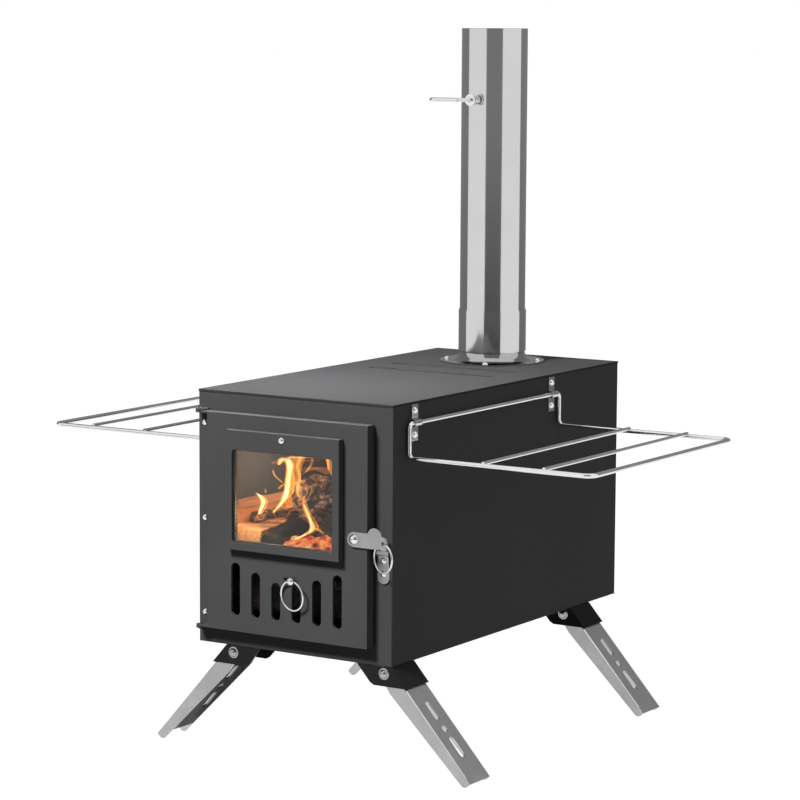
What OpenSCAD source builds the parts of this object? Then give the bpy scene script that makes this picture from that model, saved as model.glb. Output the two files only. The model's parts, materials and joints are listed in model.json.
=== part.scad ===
// Portable tent stove: a steel firebox on four folding legs, with a glazed door, two folding side
// racks and a short chimney with a damper. Millimetres, +Z up, door towards -Y.
// The origin is on the floor, under the middle of the whole stove.

/* [Body] */
// Outside width of the firebox
body_w = 196; // [176:1:230]
// Outside depth of the firebox, front to back
body_d = 386; // [370:1:450]
// Outside height of the firebox
body_h = 218; // [205:1:250]
// Thickness of the folded steel sheet
sheet = 1.5; // [1.2:0.1:2]
// Thickness of the cooktop plate
top_t = 2; // [1.5:0.1:3]
// Depth of the cooktop's turned-down lips
lip_deep = 8; // [5:1:14]
// Length of the stiffening grooves pressed into the cooktop
groove_l = 131; // [90:1:150]
// Width of a groove
groove_w = 9; // [6:0.5:12]
// Depth of a groove
groove_deep = 3; // [2:0.5:4]
// From the middle of the flue to the nearest groove
groove_off = 67; // [60:1:75]
// From groove to groove
groove_pitch = 39.5; // [30:0.5:50]

/* [Firebox] */
// Height of the grate above the bottom sheet
grate_h = 20; // [12:1:24]
// Clearance round the grate
grate_gap = 8; // [4:1:14]
// Width of a grate slot
grate_slot = 7; // [5:0.5:9]
// Distance from grate slot to grate slot
grate_pitch = 24; // [18:1:30]
// Smoke passage between the baffle and the cooktop
baffle_drop = 30; // [24:1:36]
// Opening in front of the baffle, from the front sheet
baffle_front = 90; // [60:1:120]
// Depth of the baffle's side flanges
baffle_lip = 9; // [6:1:14]

/* [Door] */
// Front sheet left showing on each side of the door
door_side = 17.25; // [17:0.25:20]
// Front sheet left showing above the door
door_head = 17; // [12:0.5:20]
// Height of the door's lower edge above the firebox's underside
door_z = 15.5; // [13:0.5:18]
// Depth of the door pan
door_deep = 10; // [9:0.5:13]
// Gap between the closed door pan and the front sheet
door_gap = 1.5; // [1:0.1:2.5]
// Thickness of the door sheet
door_t = 1.5; // [1.2:0.1:2]
// How far the door laps over the edge of its opening
door_lap = 8.5; // [6:0.5:10]
// Width of the rope seal inside the door's rim
seal_w = 6; // [4:0.5:7]
// Room between the rope seal and the front sheet
seal_gap = 0.3; // [0.2:0.1:0.6]

/* [Door hinge] */
// From the door's left edge to the hinge axis
hinge_out = 9.75; // [8:0.25:11]
// Diameter of a hinge pin
pin_d = 3; // [2.5:0.1:4]
// Radius of the hinge ears round the pin
ear_r = 4.5; // [4:0.1:5]
// Gap between a fixed ear and the door's ear
ear_gap = 0.4; // [0.2:0.1:0.8]
// Width of the hinge strip on the front sheet
strip_w = 12; // [10:0.5:13]
// Thickness of the hinge strip
strip_t = 1.2; // [1:0.1:1.3]
// From the door's edges to the strip's outer rivets
strip_rivet_in = 11; // [8:0.5:16]

/* [Window] */
// Door sheet left showing on each side of the raised window frame
win_side = 23.5; // [21:0.5:26]
// Door sheet left showing above the window frame
win_head = 12.5; // [10:0.5:16]
// Height of the frame's lower edge above the firebox's underside
win_z = 87; // [85:0.5:90]
// How far the frame stands out of the door
win_deep = 7; // [6:0.5:9]
// Thickness of the frame's sheet
win_t = 1.2; // [0.8:0.1:1.5]
// Width of the frame on each side of the glass
view_side = 6.9; // [6.5:0.1:10]
// Height of the frame above the glass
view_head = 16.5; // [15:0.5:20]
// Height of the frame below the glass
view_low = 6.5; // [6:0.5:8]
// Corner radius of the view
view_r = 3; // [1:0.5:6]
// How far the glass is held behind the frame's edge
glass_lap = 4; // [2:0.5:4.5]
// Thickness of the glass
glass_t = 4; // [3:0.5:4.5]
// From the frame's upper edge to the screw that locks the glass
glass_screw_drop = 5.2; // [4:0.1:6]

/* [Air control] */
// Width of an air slot
slot_w = 9.1; // [7:0.1:9.4]
// How far the outer slots stand in from the window frame's sides
slot_side = 1.2; // [1:0.1:4]
// Height of the slots' lower ends above the firebox's underside
slot_z = 29; // [28:0.5:31]
// Height of the two middle slots
slot_h = 32.5; // [28:0.1:33]
// Height that each pair of slots further out gains
slot_step = 6.45; // [4:0.05:6.5]
// Travel of the shutter to the left, until the slots are shut
air_shut = 9.4; // [7.5:0.1:10]
// Travel of the shutter to the right, past fully open
air_past = 1; // [0.5:0.1:1.5]
// Thickness of the shutter
shutter_t = 1; // [0.8:0.1:1.2]
// Running gap on each side of the shutter
shutter_gap = 0.2; // [0.15:0.05:0.3]
// How far the shutter reaches past the slots
shutter_lap = 5; // [3:0.5:6]
// Thickness of the rails that the shutter runs in
rail_t = 1; // [0.8:0.1:1.2]
// Height of the knob above the firebox's underside
knob_z = 65.6; // [65:0.1:68]
// Place of the knob from the middle of the door, with the slots open
knob_x = 8.5; // [6:0.1:9.5]
// Diameter of the knob post
knob_d = 6.3; // [5.5:0.1:8]
// How far the knob stands out of the door
knob_out = 8; // [7:0.5:9]
// Diameter of the knob's stud
stud_d = 2.4; // [2:0.1:2.8]

/* [Pull rings] */
// Radius of the ring on the air knob, to the middle of its wire
air_ring_r = 12.6; // [10:0.1:14]
// Radius of the ring on the latch, to the middle of its wire
latch_ring_r = 12.1; // [10:0.1:13]
// Diameter of the rings' wire
ring_wire = 1.6; // [1.2:0.1:1.8]
// Room round the ring's wire in its hole
ring_room = 0.95; // [0.9:0.05:1.1]
// Turn of the ring on the air knob, as it hangs
air_ring_turn = 10; // [0:1:10]
// Turn of the ring on the latch, as it hangs
latch_ring_turn = 20; // [0:1:22]

/* [Latch] */
// Height of the latch pivot above the firebox's underside
latch_z = 106.4; // [104:0.1:109]
// From the door's right edge to the latch pivot
latch_in = 12.2; // [11:0.1:14]
// Half the height of the latch lever
lever_r = 6.3; // [5.5:0.1:6.8]
// Reach of the lever past the door's right edge
lever_reach = 13.85; // [13.5:0.05:15]
// Thickness of the lever
lever_t = 1.5; // [1.2:0.1:1.8]
// Gap between the lever and the door
lever_gap = 0.3; // [0.2:0.1:0.5]
// Radius of the lever's thumb tab
thumb_r = 6.4; // [5:0.1:7]
// Diameter of the latch pivot
latch_pin_d = 4; // [3:0.1:5]
// Width of the keeper plate
keeper_w = 11.4; // [9:0.1:12]
// Height of the keeper plate
keeper_h = 27.9; // [26:0.1:30]
// From the latch pivot down to the keeper's upper edge
keeper_drop = 9; // [8.5:0.1:10]
// Thickness of the keeper plate
keeper_t = 1.2; // [1:0.1:1.3]
// How far the keeper's upper part stands off the front sheet
keeper_off = 2.2; // [2:0.1:2.4]
// How far the latch's finger drops behind the keeper
finger_in = 3.4; // [2:0.1:4]

/* [Side racks] */
// Length of a rack along the firebox
rack_l = 250; // [220:1:290]
// From the front sheet to the rack's front arm
rack_front = 21; // [18:0.5:24]
// From the pivot rod out to the rack's outer bar
rack_reach = 170.5; // [150:0.5:175]
// From the pivot rod down to the rack's arms
rack_drop = 28.7; // [26:0.1:32]
// From the top of the firebox down to the pivot rod
rack_top = 17.3; // [17.3:0.1:20]
// Diameter of the rack wire
rack_d = 4; // [3.5:0.1:4.5]
// Diameter of the two cross bars
bar_d = 3.2; // [2.5:0.1:3.5]
// From the pivot rod out to the inner cross bar
bar_in = 71; // [55:1:80]
// From the pivot rod out to the outer cross bar
bar_out = 127.5; // [110:0.5:135]
// Gap between the rack's rod and the side sheet
rod_gap = 0.5; // [0.3:0.1:1]
// From the rack's arm to the middle of its strap
strap_in = 11; // [10.5:0.5:16]
// Width of a strap
strap_w = 9.5; // [8:0.5:11]
// Height of a strap
strap_h = 30.4; // [28:0.2:30.4]
// Thickness of a strap
strap_t = 1.2; // [1:0.1:1.5]
// Distance of each strap screw from the rod
strap_screw = 10.1; // [9:0.1:11]

/* [Legs] */
// Angle of the legs from upright
splay = 41.4; // [36:0.2:44]
// From the leg's pivot to its end
leg_l = 116.2; // [100:0.2:130]
// Width of the leg's slotted web
leg_w = 32; // [26:0.5:36]
// Thickness of the leg's sheet
leg_t = 1.5; // [1.2:0.1:2]
// From the leg's pivot out to the face of the web
web_off = 7.8; // [7.4:0.1:8.2]
// Depth of the leg at the bracket
leg_deep = 15; // [14:0.1:15.5]
// Depth of the leg at its end
foot_deep = 7.8; // [7:0.1:10]
// Corner radius of the foot
foot_r = 4; // [2:0.1:5]
// From the firebox's underside down to the leg pivots
pivot_drop = 6; // [5.8:0.1:6.8]
// From the right side in to the right legs' pivots
right_in = 7.8; // [7:0.1:12]
// From the left side in to the left legs' pivots
left_in = 35.9; // [30:0.1:42]
// From the front sheet back to the middle of the front legs
front_leg = 17.75; // [17.75:0.25:30]
// From the front sheet back to the middle of the rear legs
rear_leg = 319.3; // [280:0.1:345]
// Width of the slots in the web
leg_slot = 6.4; // [5:0.1:8]
// Height of the leg brackets
bracket_h = 16.5; // [15:0.1:18]
// Thickness of the leg brackets
bracket_t = 1.5; // [1.2:0.1:2]
// Length of a bracket along the firebox's width
bracket_l = 34; // [30:0.5:38]
// Diameter of the leg bolts
bolt_d = 6; // [5:0.1:6.4]

/* [Chimney] */
// Outside diameter of the chimney pipe
pipe_d = 60; // [50:0.5:62]
// Wall of the chimney pipe
pipe_t = 0.8; // [0.6:0.1:1]
// Length of the chimney section with its widened end
pipe_l = 294; // [240:1:330]
// Length of the widened lower end
bell_l = 39; // [30:1:45]
// Sliding room between the collar and the widened end
bell_gap = 0.08; // [0.04:0.01:0.1]
// From the back sheet forward to the middle of the chimney
flue_back = 63; // [60:1:75]
// Diameter of the collar's flange
flange_d = 96; // [90:1:104]
// Thickness of the collar's flange
flange_t = 1.2; // [1:0.1:1.5]
// Height of the collar's flared neck
neck_h = 9.5; // [8:0.5:12]
// Radius of the flange screws' circle
flange_screw_r = 42; // [41:0.5:43]
// Turn of the first flange screw from the stove's right
flange_screw_turn = 22; // [10:1:35]
// From the top of the pipe down to the damper's shaft
damper_drop = 64; // [45:1:80]
// Diameter of the damper's rod
rod_d = 3.6; // [3:0.1:4]
// Clearance round the damper plate
plate_gap = 0.6; // [0.4:0.1:1]
// Thickness of the damper plate
plate_t = 1.2; // [1:0.1:1.6]
// From the pipe out to the middle of the damper handle
handle_out = 15; // [13:0.5:18]
// Length of the damper handle
handle_l = 37; // [30:1:45]
// Width of the damper handle's loop
handle_w = 11; // [9:0.5:14]
// Outside diameter of the damper's spring
spring_d = 9; // [8:0.1:10]
// Wire of the damper's spring
spring_wire = 1.3; // [1:0.1:1.4]
// Turns of the damper's spring
spring_n = 4; // [3:1:5]

/* [Hidden] */
$fn = 64;
run = 0.05;
see = 0.01;
ring_clear = 0.3;
ear_clear = 1.3;
bar_over = 0.5;
through = 20;
screw_head_d = 6;
screw_head_h = 2.2;
screw_d = 3.2;
rivet_head_d = 5.6;
rivet_head_h = 1.8;
rivet_d = 3.4;
tail_h = 1.2;
tail_grow = 0.8;
knob_hole_in = 0.4;
latch_ring_off = 4.8;
latch_ring_low = 1.7;
keeper_tuck = 1.1;
keeper_bend = 5.3;
shutter_end = 1;
finger_slack = 0.3;
keeper_slack = 0.6;
bolt_flange_h = 1;
bolt_rise = 0.6;
bolt_head_h = 2.6;
bolt_tail = 1;
nut_h = 4;
bracket_cut = 2;
bell_land = 0.2;
neck_room = 0.5;
rod_tail = 2;
rod_rim = 1;

door_y = -door_gap - door_deep;
door_back = -door_gap;
door_w = body_w - 2 * door_side;
door_x = door_w / 2;
door_top = body_h - door_head;
door_h = door_top - door_z;
hinge_x = -door_x - hinge_out;
hinge_y = -strip_t - ear_clear - ear_r;
open_w = door_w - 2 * door_lap;
open_z = door_z + door_lap;
open_h = door_h - 2 * door_lap;

win_y = door_y - win_deep;
win_w = door_w - 2 * win_side;
win_h = door_top - win_head - win_z;
view_w = win_w - 2 * view_side;
view_h = win_h - view_low - view_head;
view_z = win_z + view_low;
glass_w = view_w + 2 * glass_lap;
glass_h = view_h + 2 * glass_lap;
glass_y = win_y + win_t;
glass_screw_z = win_z + win_h - glass_screw_drop;

slot_pitch = (win_w - slot_w - 2 * slot_side) / 5;
slots = [for (i = [0:5]) let (k = i < 3 ? 2 - i : i - 3) [(i - 2.5) * slot_pitch, slot_h + k * slot_step]];
slot_top = slot_z + slot_h + 2 * slot_step;
shutter_y = door_y + door_t + shutter_gap;
shutter_half = 2.5 * slot_pitch + slot_w / 2 + air_shut + shutter_end;
shutter_lo = slot_z - shutter_lap;
shutter_hi = slot_top + shutter_lap;
stud_room = 0.3;
ring_hole_r = ring_wire / 2 + ring_room;
knob_hole_y = door_y - knob_out / 2 - knob_hole_in;
ring_reach = (door_y - ring_wire / 2 - ring_clear - knob_hole_y) / air_ring_r;
ring_lean = asin((ring_reach - pow(sin(air_ring_turn), 2) / ring_reach) / 2);

latch_x = door_x - latch_in;
lever_y = door_y - lever_gap - lever_t;
lever_x = door_x + lever_reach;
keeper_top = latch_z - keeper_drop;
keeper_x = lever_x - keeper_w / 2 + keeper_tuck;
keeper_face = -keeper_off - keeper_t;
finger_y = -0.4;
latch_ring_y = keeper_face - ring_wire / 2 - latch_ring_off;
latch_ring_z = latch_z - latch_ring_low;

rack_r = rack_d / 2;
rod_x = body_w / 2 + rod_gap + rack_r;
rod_z = body_h - rack_top;
rod_bend = 4;
arm_bend = 5;
outer_bend = 8;
strap_bore = rack_r + run;
strap_ys = [rack_front + strap_in, rack_front + rack_l - strap_in];

head_r = pivot_drop - 0.6;
web_top = 1;
taper_top = 16;
right_x = body_w / 2 - right_in;
left_x = left_in - body_w / 2;
bracket_w = leg_w + 0.5 + 2 * bracket_t;
bracket_face = web_off + ring_clear + bracket_t;
leg_bore = bolt_d / 2 + run;
leg_holes = [[37.1, 55.4], [61.3, 67.7], [72.4, 92.6]];
bolt_flange_d = 9.8;
bolt_head_d = 0.78 * bolt_flange_d;
nut_r = 0.9 * bolt_d;

foot_v = web_off - foot_deep + foot_r;
stand_h = pivot_drop + (leg_l - foot_r) * cos(splay) - foot_v * sin(splay) + foot_r;
front_reach = -min(win_y - screw_head_h, door_y - knob_out);
front_y = (front_reach - body_d) / 2;

flue_y = body_d - flue_back;
pipe_r = pipe_d / 2;
pipe_in = pipe_r - pipe_t;
bell_in = pipe_r + bell_land;
bell_r = bell_in + pipe_t;
collar_r = bell_in - bell_gap;
collar_in = collar_r - pipe_t;
bell_z = body_h + neck_h + neck_room;
shoulder = 2;
pipe_top = bell_z + pipe_l;
damper_z = pipe_top - damper_drop;
damper_bore = rod_d / 2 + run;
handle_y = flue_y - pipe_r - handle_out;
washer_y = handle_y + rod_d / 2;
washer_t = 0.8;
washer_d = 10.5;
spring_len = flue_y - pipe_r - plate_gap - washer_y - washer_t - spring_wire;
neck_r = 8;

// Places the firebox's lower front edge over the floor
module stove() translate([0, front_y, stand_h]) children();

// A block given by its low and high corners
module block(lo, hi) translate(lo) cube(hi - lo);

// A flat outline in X and Z, with thickness t from y towards the back
module upright(y, t) translate([0, y + t, 0]) rotate([90, 0, 0]) linear_extrude(t) children();

// A rod along Y from y0 to y1
module rod_y(r, y0, y1) translate([0, y0, 0]) rotate([-90, 0, 0]) cylinder(r = r, h = y1 - y0);

// A rod along X from x0 to x1
module rod_x_way(r, x0, x1) translate([x0, 0, 0]) rotate([0, 90, 0]) cylinder(r = r, h = x1 - x0);

// A rectangle with rounded corners, given by its low and high corners
module rounded(lo, hi, r) {
    translate([lo[0] + r, lo[1]]) square([hi[0] - lo[0] - 2 * r, hi[1] - lo[1]]);
    translate([lo[0], lo[1] + r]) square([hi[0] - lo[0], hi[1] - lo[1] - 2 * r]);
    for (x = [lo[0] + r, hi[0] - r], y = [lo[1] + r, hi[1] - r]) translate([x, y]) circle(r);
}

// An upright slot with round ends
module slot_2d(w, h) rounded([-w / 2, 0], [w / 2, h], w / 2 - see);

// A domed rivet or screw on a face at y, its head towards the front, its tail end at y + grip
module fastener(y, head_d, head_h, shank_d, grip, tail) {
    dome_r = (head_h * head_h + head_d * head_d / 4) / (2 * head_h);
    intersection() {
        translate([0, y - head_h + dome_r, 0]) sphere(dome_r);
        rod_y(head_d / 2, y - head_h, y);
    }
    rod_y(shank_d / 2, y - see, y + grip + tail);
    rod_y(shank_d / 2 + tail_grow, y + grip, y + grip + tail);
}

// A round wire bent to a quarter circle, from the X axis to the Y axis
module quarter(r, bend) rotate_extrude(angle = 90) translate([bend, 0]) circle(r);

// Firebox

module body_shell() color("#3a3a3a") stove() {
    top = body_h - top_t;
    block([-body_w / 2, sheet, 0], [body_w / 2, body_d - sheet, sheet]);
    difference() {
        union() for (s = [-1, 1]) block(
            [s > 0 ? body_w / 2 - sheet : -body_w / 2, sheet, 0],
            [s > 0 ? body_w / 2 : sheet - body_w / 2, body_d - sheet, top]);
        for (s = [-1, 1], y = strap_ys, z = [-strap_screw, strap_screw])
            translate([s > 0 ? body_w / 2 : -body_w / 2, y, rod_z + z])
                rotate([0, 90, 0]) cylinder(r = screw_d / 2 + run, h = 3 * sheet, center = true);
    }
}

module groove_2d(grow) {
    half = groove_l / 2 - groove_w / 2;
    square([2 * half, groove_w + 2 * grow], center = true);
    for (s = [-1, 1]) translate([s * half, 0]) circle(groove_w / 2 + grow);
}

module cooktop() color("#555555") stove() {
    grooves = [flue_y - groove_off, flue_y - groove_off - groove_pitch];
    low = body_h - top_t;
    difference() {
        union() {
            block([-body_w / 2, 0, low], [body_w / 2, body_d, body_h]);
            for (s = [-1, 1]) translate([s * (body_w / 2 - 1.5 * sheet - run), 0, 0])
                block([-sheet / 2, 2 * lip_deep, low - lip_deep],
                    [sheet / 2, body_d - 2 * lip_deep, body_h - see]);
            for (y = grooves) translate([0, y, body_h - groove_deep - top_t])
                linear_extrude(groove_deep + top_t - see) groove_2d(sheet);
        }
        for (y = grooves) translate([0, y, body_h - groove_deep])
            linear_extrude(groove_deep + 1) groove_2d(0);
        for (y = strap_ys, s = [-1, 1]) translate([s * body_w / 2, y, rod_z + strap_screw])
            rotate([0, 90, 0]) cylinder(r = screw_d, h = 12 * sheet, center = true);
        translate([0, flue_y, 0]) {
            cylinder(r = collar_in, h = 2 * body_h);
            flue_screw_places() cylinder(r = screw_d / 2 + run, h = 2 * body_h);
        }
    }
}

module front_frame() color("#3a3a3a") stove() difference() {
    block([-body_w / 2, 0, 0], [body_w / 2, sheet, body_h - top_t]);
    upright(-1, sheet + 2) translate([-open_w / 2, open_z]) square([open_w, open_h]);
    for (z = hinge_rivet_zs()) translate([hinge_x, 0, z]) rod_y(rivet_d / 2 + run, -1, sheet + 1);
    for (z = keeper_rivet_zs()) translate([keeper_x, 0, z])
        rod_y(rivet_d / 2 + run, -1, sheet + 1);
}

module back_panel() color("#3a3a3a") stove()
    block([-body_w / 2, body_d - sheet, 0], [body_w / 2, body_d, body_h - top_t]);

module smoke_baffle() color("#5d5a57") stove() {
    x = body_w / 2 - sheet;
    z = body_h - top_t - baffle_drop;
    block([-x, baffle_front, z - sheet], [x, body_d - sheet, z]);
    for (s = [-1, 1]) translate([s * (x - sheet / 2), 0, 0])
        block([-sheet / 2, baffle_front, z - baffle_lip], [sheet / 2, body_d - sheet, z]);
}

module fire_grate() color("#5d5a57") stove() {
    x = body_w / 2 - sheet - grate_gap;
    lo = sheet + grate_gap;
    hi = body_d - sheet - grate_gap;
    z = sheet + grate_h;
    rows = floor((hi - lo - 2 * grate_slot) / grate_pitch);
    first = (lo + hi) / 2 - (rows - 1) * grate_pitch / 2;
    difference() {
        block([-x, lo, z - sheet], [x, hi, z]);
        for (i = [0:rows - 1], s = [-1, 1])
            translate([s * x / 2, first + i * grate_pitch, z - 2 * sheet])
                linear_extrude(3 * sheet) rotate(90) translate([0, -x / 3])
                    slot_2d(grate_slot, 2 * x / 3);
    }
    for (s = [-1, 1]) translate([s * (x - sheet / 2), 0, 0])
        block([-sheet / 2, lo, sheet], [sheet / 2, hi, z]);
}

// Chimney

module flue_screw_places() for (a = [0:90:270]) rotate(a + flange_screw_turn)
    translate([flange_screw_r, 0, 0]) children();

module flue_collar() color("#c9c9c9") stove() translate([0, flue_y, body_h]) difference() {
    rotate_extrude($fn = 96) {
        difference() {
            translate([collar_in, 0]) square([collar_r + neck_r - collar_in, neck_h]);
            translate([collar_r + neck_r, flange_t + neck_r]) circle(neck_r);
            translate([collar_r, flange_t + neck_r]) square([2 * neck_r, neck_h]);
        }
        translate([collar_in, 0]) square([flange_d / 2 - collar_in, flange_t]);
        translate([collar_in, 0]) square([pipe_t, neck_h + bell_l - 2 * shoulder]);
    }
    flue_screw_places() translate([0, 0, -1]) cylinder(r = screw_d / 2 + run, h = flange_t + 2);
}

module flue_screws() color("#c9c9c9") stove() translate([0, flue_y, body_h + flange_t])
    flue_screw_places() rotate([-90, 0, 0])
        fastener(0, screw_head_d, screw_head_h, screw_d, top_t + flange_t, 2 * tail_h);

module chimney_pipe() color("#d0d0d0") stove() translate([0, flue_y, 0]) difference() {
    rotate_extrude($fn = 96) polygon([
        [bell_in, bell_z], [bell_r, bell_z], [bell_r, bell_z + bell_l - shoulder],
        [pipe_r, bell_z + bell_l], [pipe_r, pipe_top], [pipe_in, pipe_top],
        [pipe_in, bell_z + bell_l], [bell_in, bell_z + bell_l - shoulder]]);
    translate([0, 0, damper_z]) rod_y(damper_bore, -2 * pipe_r, 2 * pipe_r);
}

module damper_plate() color("#b5b5b5") stove() translate([0, flue_y, damper_z]) difference() {
    union() {
        cylinder(r = pipe_in - plate_gap, h = plate_t, center = true);
        rod_y(rod_d / 2 + 2 * plate_t, -pipe_in / 2, pipe_in / 2);
    }
    rod_y(rod_d / 2 + run, -pipe_r, pipe_r);
    for (s = [-1, 1]) translate([s * pipe_in * 0.6, 0, -pipe_r]) cylinder(r = pipe_in / 6, h = pipe_d);
}

module damper_rod() color("#c9c9c9") stove() translate([0, 0, damper_z]) {
    r = rod_d / 2;
    bend = handle_w / 2;
    rod_y(r, handle_y, flue_y + pipe_r + rod_tail + rod_rim);
    translate([0, flue_y + pipe_r + rod_tail, 0]) rod_y(r + rod_rim, 0, rod_rim);
    translate([0, handle_y, 0]) sphere(r);
    translate([0, handle_y, 0]) rod_x_way(r, bend - handle_l + r, 0);
    translate([bend - handle_l + r, handle_y - bend, 0]) {
        rotate(90) quarter(r, bend);
        rotate(180) quarter(r, bend);
    }
    translate([0, handle_y - handle_w, 0]) {
        rod_x_way(r, bend - handle_l + r, -bend);
        translate([-bend, 0, 0]) sphere(r);
    }
}

function coil(i, n, r, len) = let (a = 360 * spring_n * i / n)
    [r * sin(a), len * i / n, r * cos(a)];

module damper_spring() color("#c9c9c9") stove() translate([0, washer_y + washer_t, damper_z]) {
    n = 24 * spring_n;
    sides = 6;
    r = (spring_d - spring_wire) / 2;
    w = spring_wire / 2;
    points = [for (i = [0:n], j = [0:sides - 1]) let (a = 360 * spring_n * i / n, b = 360 * j / sides)
        coil(i, n, r, spring_len) + [0, w, 0]
        + [w * cos(b) * sin(a), w * sin(b), w * cos(b) * cos(a)]];
    walls = [for (i = [0:n - 1], j = [0:sides - 1], t = [0, 1]) let (k = (j + 1) % sides)
        t == 0 ? [i * sides + j, (i + 1) * sides + k, i * sides + k]
        : [i * sides + j, (i + 1) * sides + j, (i + 1) * sides + k]];
    ends = [for (j = [1:sides - 2], t = [0, 1])
        t == 0 ? [0, j, j + 1] : [n * sides, n * sides + j + 1, n * sides + j]];
    polyhedron(points, concat(walls, ends));
    echo(spring_gap = spring_len / spring_n - spring_wire);
}

module damper_washer() color("#dddddd") stove() translate([0, 0, damper_z]) difference() {
    rod_y(washer_d / 2, washer_y, washer_y + washer_t);
    rod_y(damper_bore, washer_y - 1, washer_y + washer_t + 1);
}

// Door hinge

function hinge_rivet_zs() = [door_z + strip_rivet_in, (door_z + door_top) / 2, door_top - strip_rivet_in];

module ear_2d() {
    circle(ear_r);
    translate([-ear_r, 0]) square([2 * ear_r, -hinge_y]);
}

module hinge_strip() color("#333333") stove() {
    low = door_z - ear_gap - strip_t;
    high = door_top + ear_gap + strip_t;
    difference() {
        block([hinge_x - strip_w / 2, -strip_t, low], [hinge_x + strip_w / 2, 0, high]);
        for (z = hinge_rivet_zs()) translate([hinge_x, 0, z])
            rod_y(rivet_d / 2 + run, -strip_t - 1, 1);
    }
    for (z = [low, high - strip_t]) translate([hinge_x, hinge_y, z]) difference() {
        linear_extrude(strip_t) ear_2d();
        translate([0, 0, -1]) cylinder(r = pin_d / 2 + run, h = strip_t + 2);
    }
}

module hinge_rivets() color("#c9c9c9") stove() for (z = hinge_rivet_zs()) translate([hinge_x, 0, z])
    fastener(-strip_t, rivet_head_d, rivet_head_h, rivet_d, strip_t + sheet, tail_h);

module hinge_pins() color("#444444") stove() for (s = [0, 1]) {
    edge = s > 0 ? door_top + ear_gap + strip_t : door_z - ear_gap - strip_t;
    translate([hinge_x, hinge_y, edge]) mirror([0, 0, s > 0 ? 0 : 1]) {
        cylinder(r = pin_d / 2 + 1, h = 1);
        translate([0, 0, -strip_t - ear_gap - door_t - 1]) cylinder(r = pin_d / 2, h = strip_t
            + ear_gap + door_t + 1 + see);
    }
}

// Door

module view_2d(grow) rounded([-view_w / 2 - grow, view_z - grow],
    [view_w / 2 + grow, view_z + view_h + grow], view_r);

module door_panel() color("#4a4a4a") stove() difference() {
    union() {
        block([-door_x, door_y, door_z], [door_x, door_back, door_top]);
        for (z = [door_z, door_top - door_t]) translate([hinge_x, hinge_y, z])
            linear_extrude(door_t) {
                circle(ear_r);
                translate([0, -ear_r]) square([hinge_out + door_t, 2 * ear_r]);
            }
    }
    block([-door_x + door_t, door_y + door_t, door_z + door_t],
        [door_x - door_t, door_back + 1, door_top - door_t]);
    upright(door_y - 1, door_t + 2) {
        view_2d(-1);
        for (s = slots) translate([s[0], slot_z]) slot_2d(slot_w, s[1]);
        knob_slot_2d();
    }
    translate([0, 0, glass_screw_z]) rod_y(screw_d / 2 + run, door_y - 1, door_y + door_t + 1);
    translate([latch_x, 0, latch_z]) rod_y(latch_pin_d / 2 + run, door_y - 1, door_y + door_t + 1);
    translate([hinge_x, hinge_y, 0]) cylinder(r = pin_d / 2 + run, h = 2 * body_h);
}

module knob_slot_2d() let (r = stud_d / 2 + stud_room) rounded([knob_x - air_shut - r, knob_z - r],
    [knob_x + air_past + r, knob_z + r], r - see);

module door_seal() color("#8b8880") stove() difference() {
    x = door_x - door_t;
    y = shutter_y + shutter_t + shutter_gap + rail_t + 0.2;
    block([-x, y, door_z + door_t], [x, -seal_gap, door_top - door_t]);
    block([-x + seal_w, y - 1, door_z + door_t + seal_w], [x - seal_w, 1, door_top - door_t - seal_w]);
}

module window_frame() color("#4a4a4a") stove() difference() {
    block([-win_w / 2, win_y, win_z], [win_w / 2, door_y, win_z + win_h]);
    block([-win_w / 2 + win_t, glass_y, win_z + win_t],
        [win_w / 2 - win_t, door_y + 1, win_z + win_h - win_t]);
    upright(win_y - 1, win_t + 2) view_2d(0);
    translate([0, 0, glass_screw_z]) rod_y(screw_d / 2 + run, win_y - 1, door_y);
}

module window_glass() color("#a8b8b4", 0.4) stove()
    block([-glass_w / 2, glass_y, view_z - glass_lap], [glass_w / 2, glass_y + glass_t,
        view_z + view_h + glass_lap]);

module window_gasket() color("#77736c") stove() upright(glass_y + glass_t, door_y - glass_y - glass_t)
    difference() {
        translate([-glass_w / 2, view_z - glass_lap]) square([glass_w, glass_h]);
        view_2d(-1);
    }

module window_screw() color("#c9c9c9") stove() translate([0, 0, glass_screw_z])
    fastener(win_y, screw_head_d, screw_head_h, screw_d, win_deep + door_t, tail_h);

// Air control

module shutter_rails() color("#4a4a4a") stove() {
    back = door_y + door_t;
    deep = shutter_t + 2 * shutter_gap;
    reach = shutter_half + air_shut + 1;
    half = min(reach, door_x - door_t - 1);
    for (s = [0, 1]) {
        edge = s > 0 ? shutter_hi + shutter_gap : shutter_lo - shutter_gap;
        translate([0, back, edge]) mirror([0, 0, s > 0 ? 0 : 1]) {
            block([-half, 0, 0], [half, deep + rail_t, 3 * rail_t]);
            block([-half, deep, -2 * rail_t], [half, deep + rail_t, rail_t]);
        }
    }
}

module air_shutter() color("#3f3f3f") stove() difference() {
    block([-shutter_half, shutter_y, shutter_lo], [shutter_half, shutter_y + shutter_t, shutter_hi]);
    upright(shutter_y - 1, shutter_t + 2) for (s = slots) translate([s[0], slot_z])
        slot_2d(slot_w, s[1]);
    translate([knob_x, 0, knob_z]) rod_y(stud_d / 2 + run, shutter_y - 1, shutter_y + shutter_t + 1);
}

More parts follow.
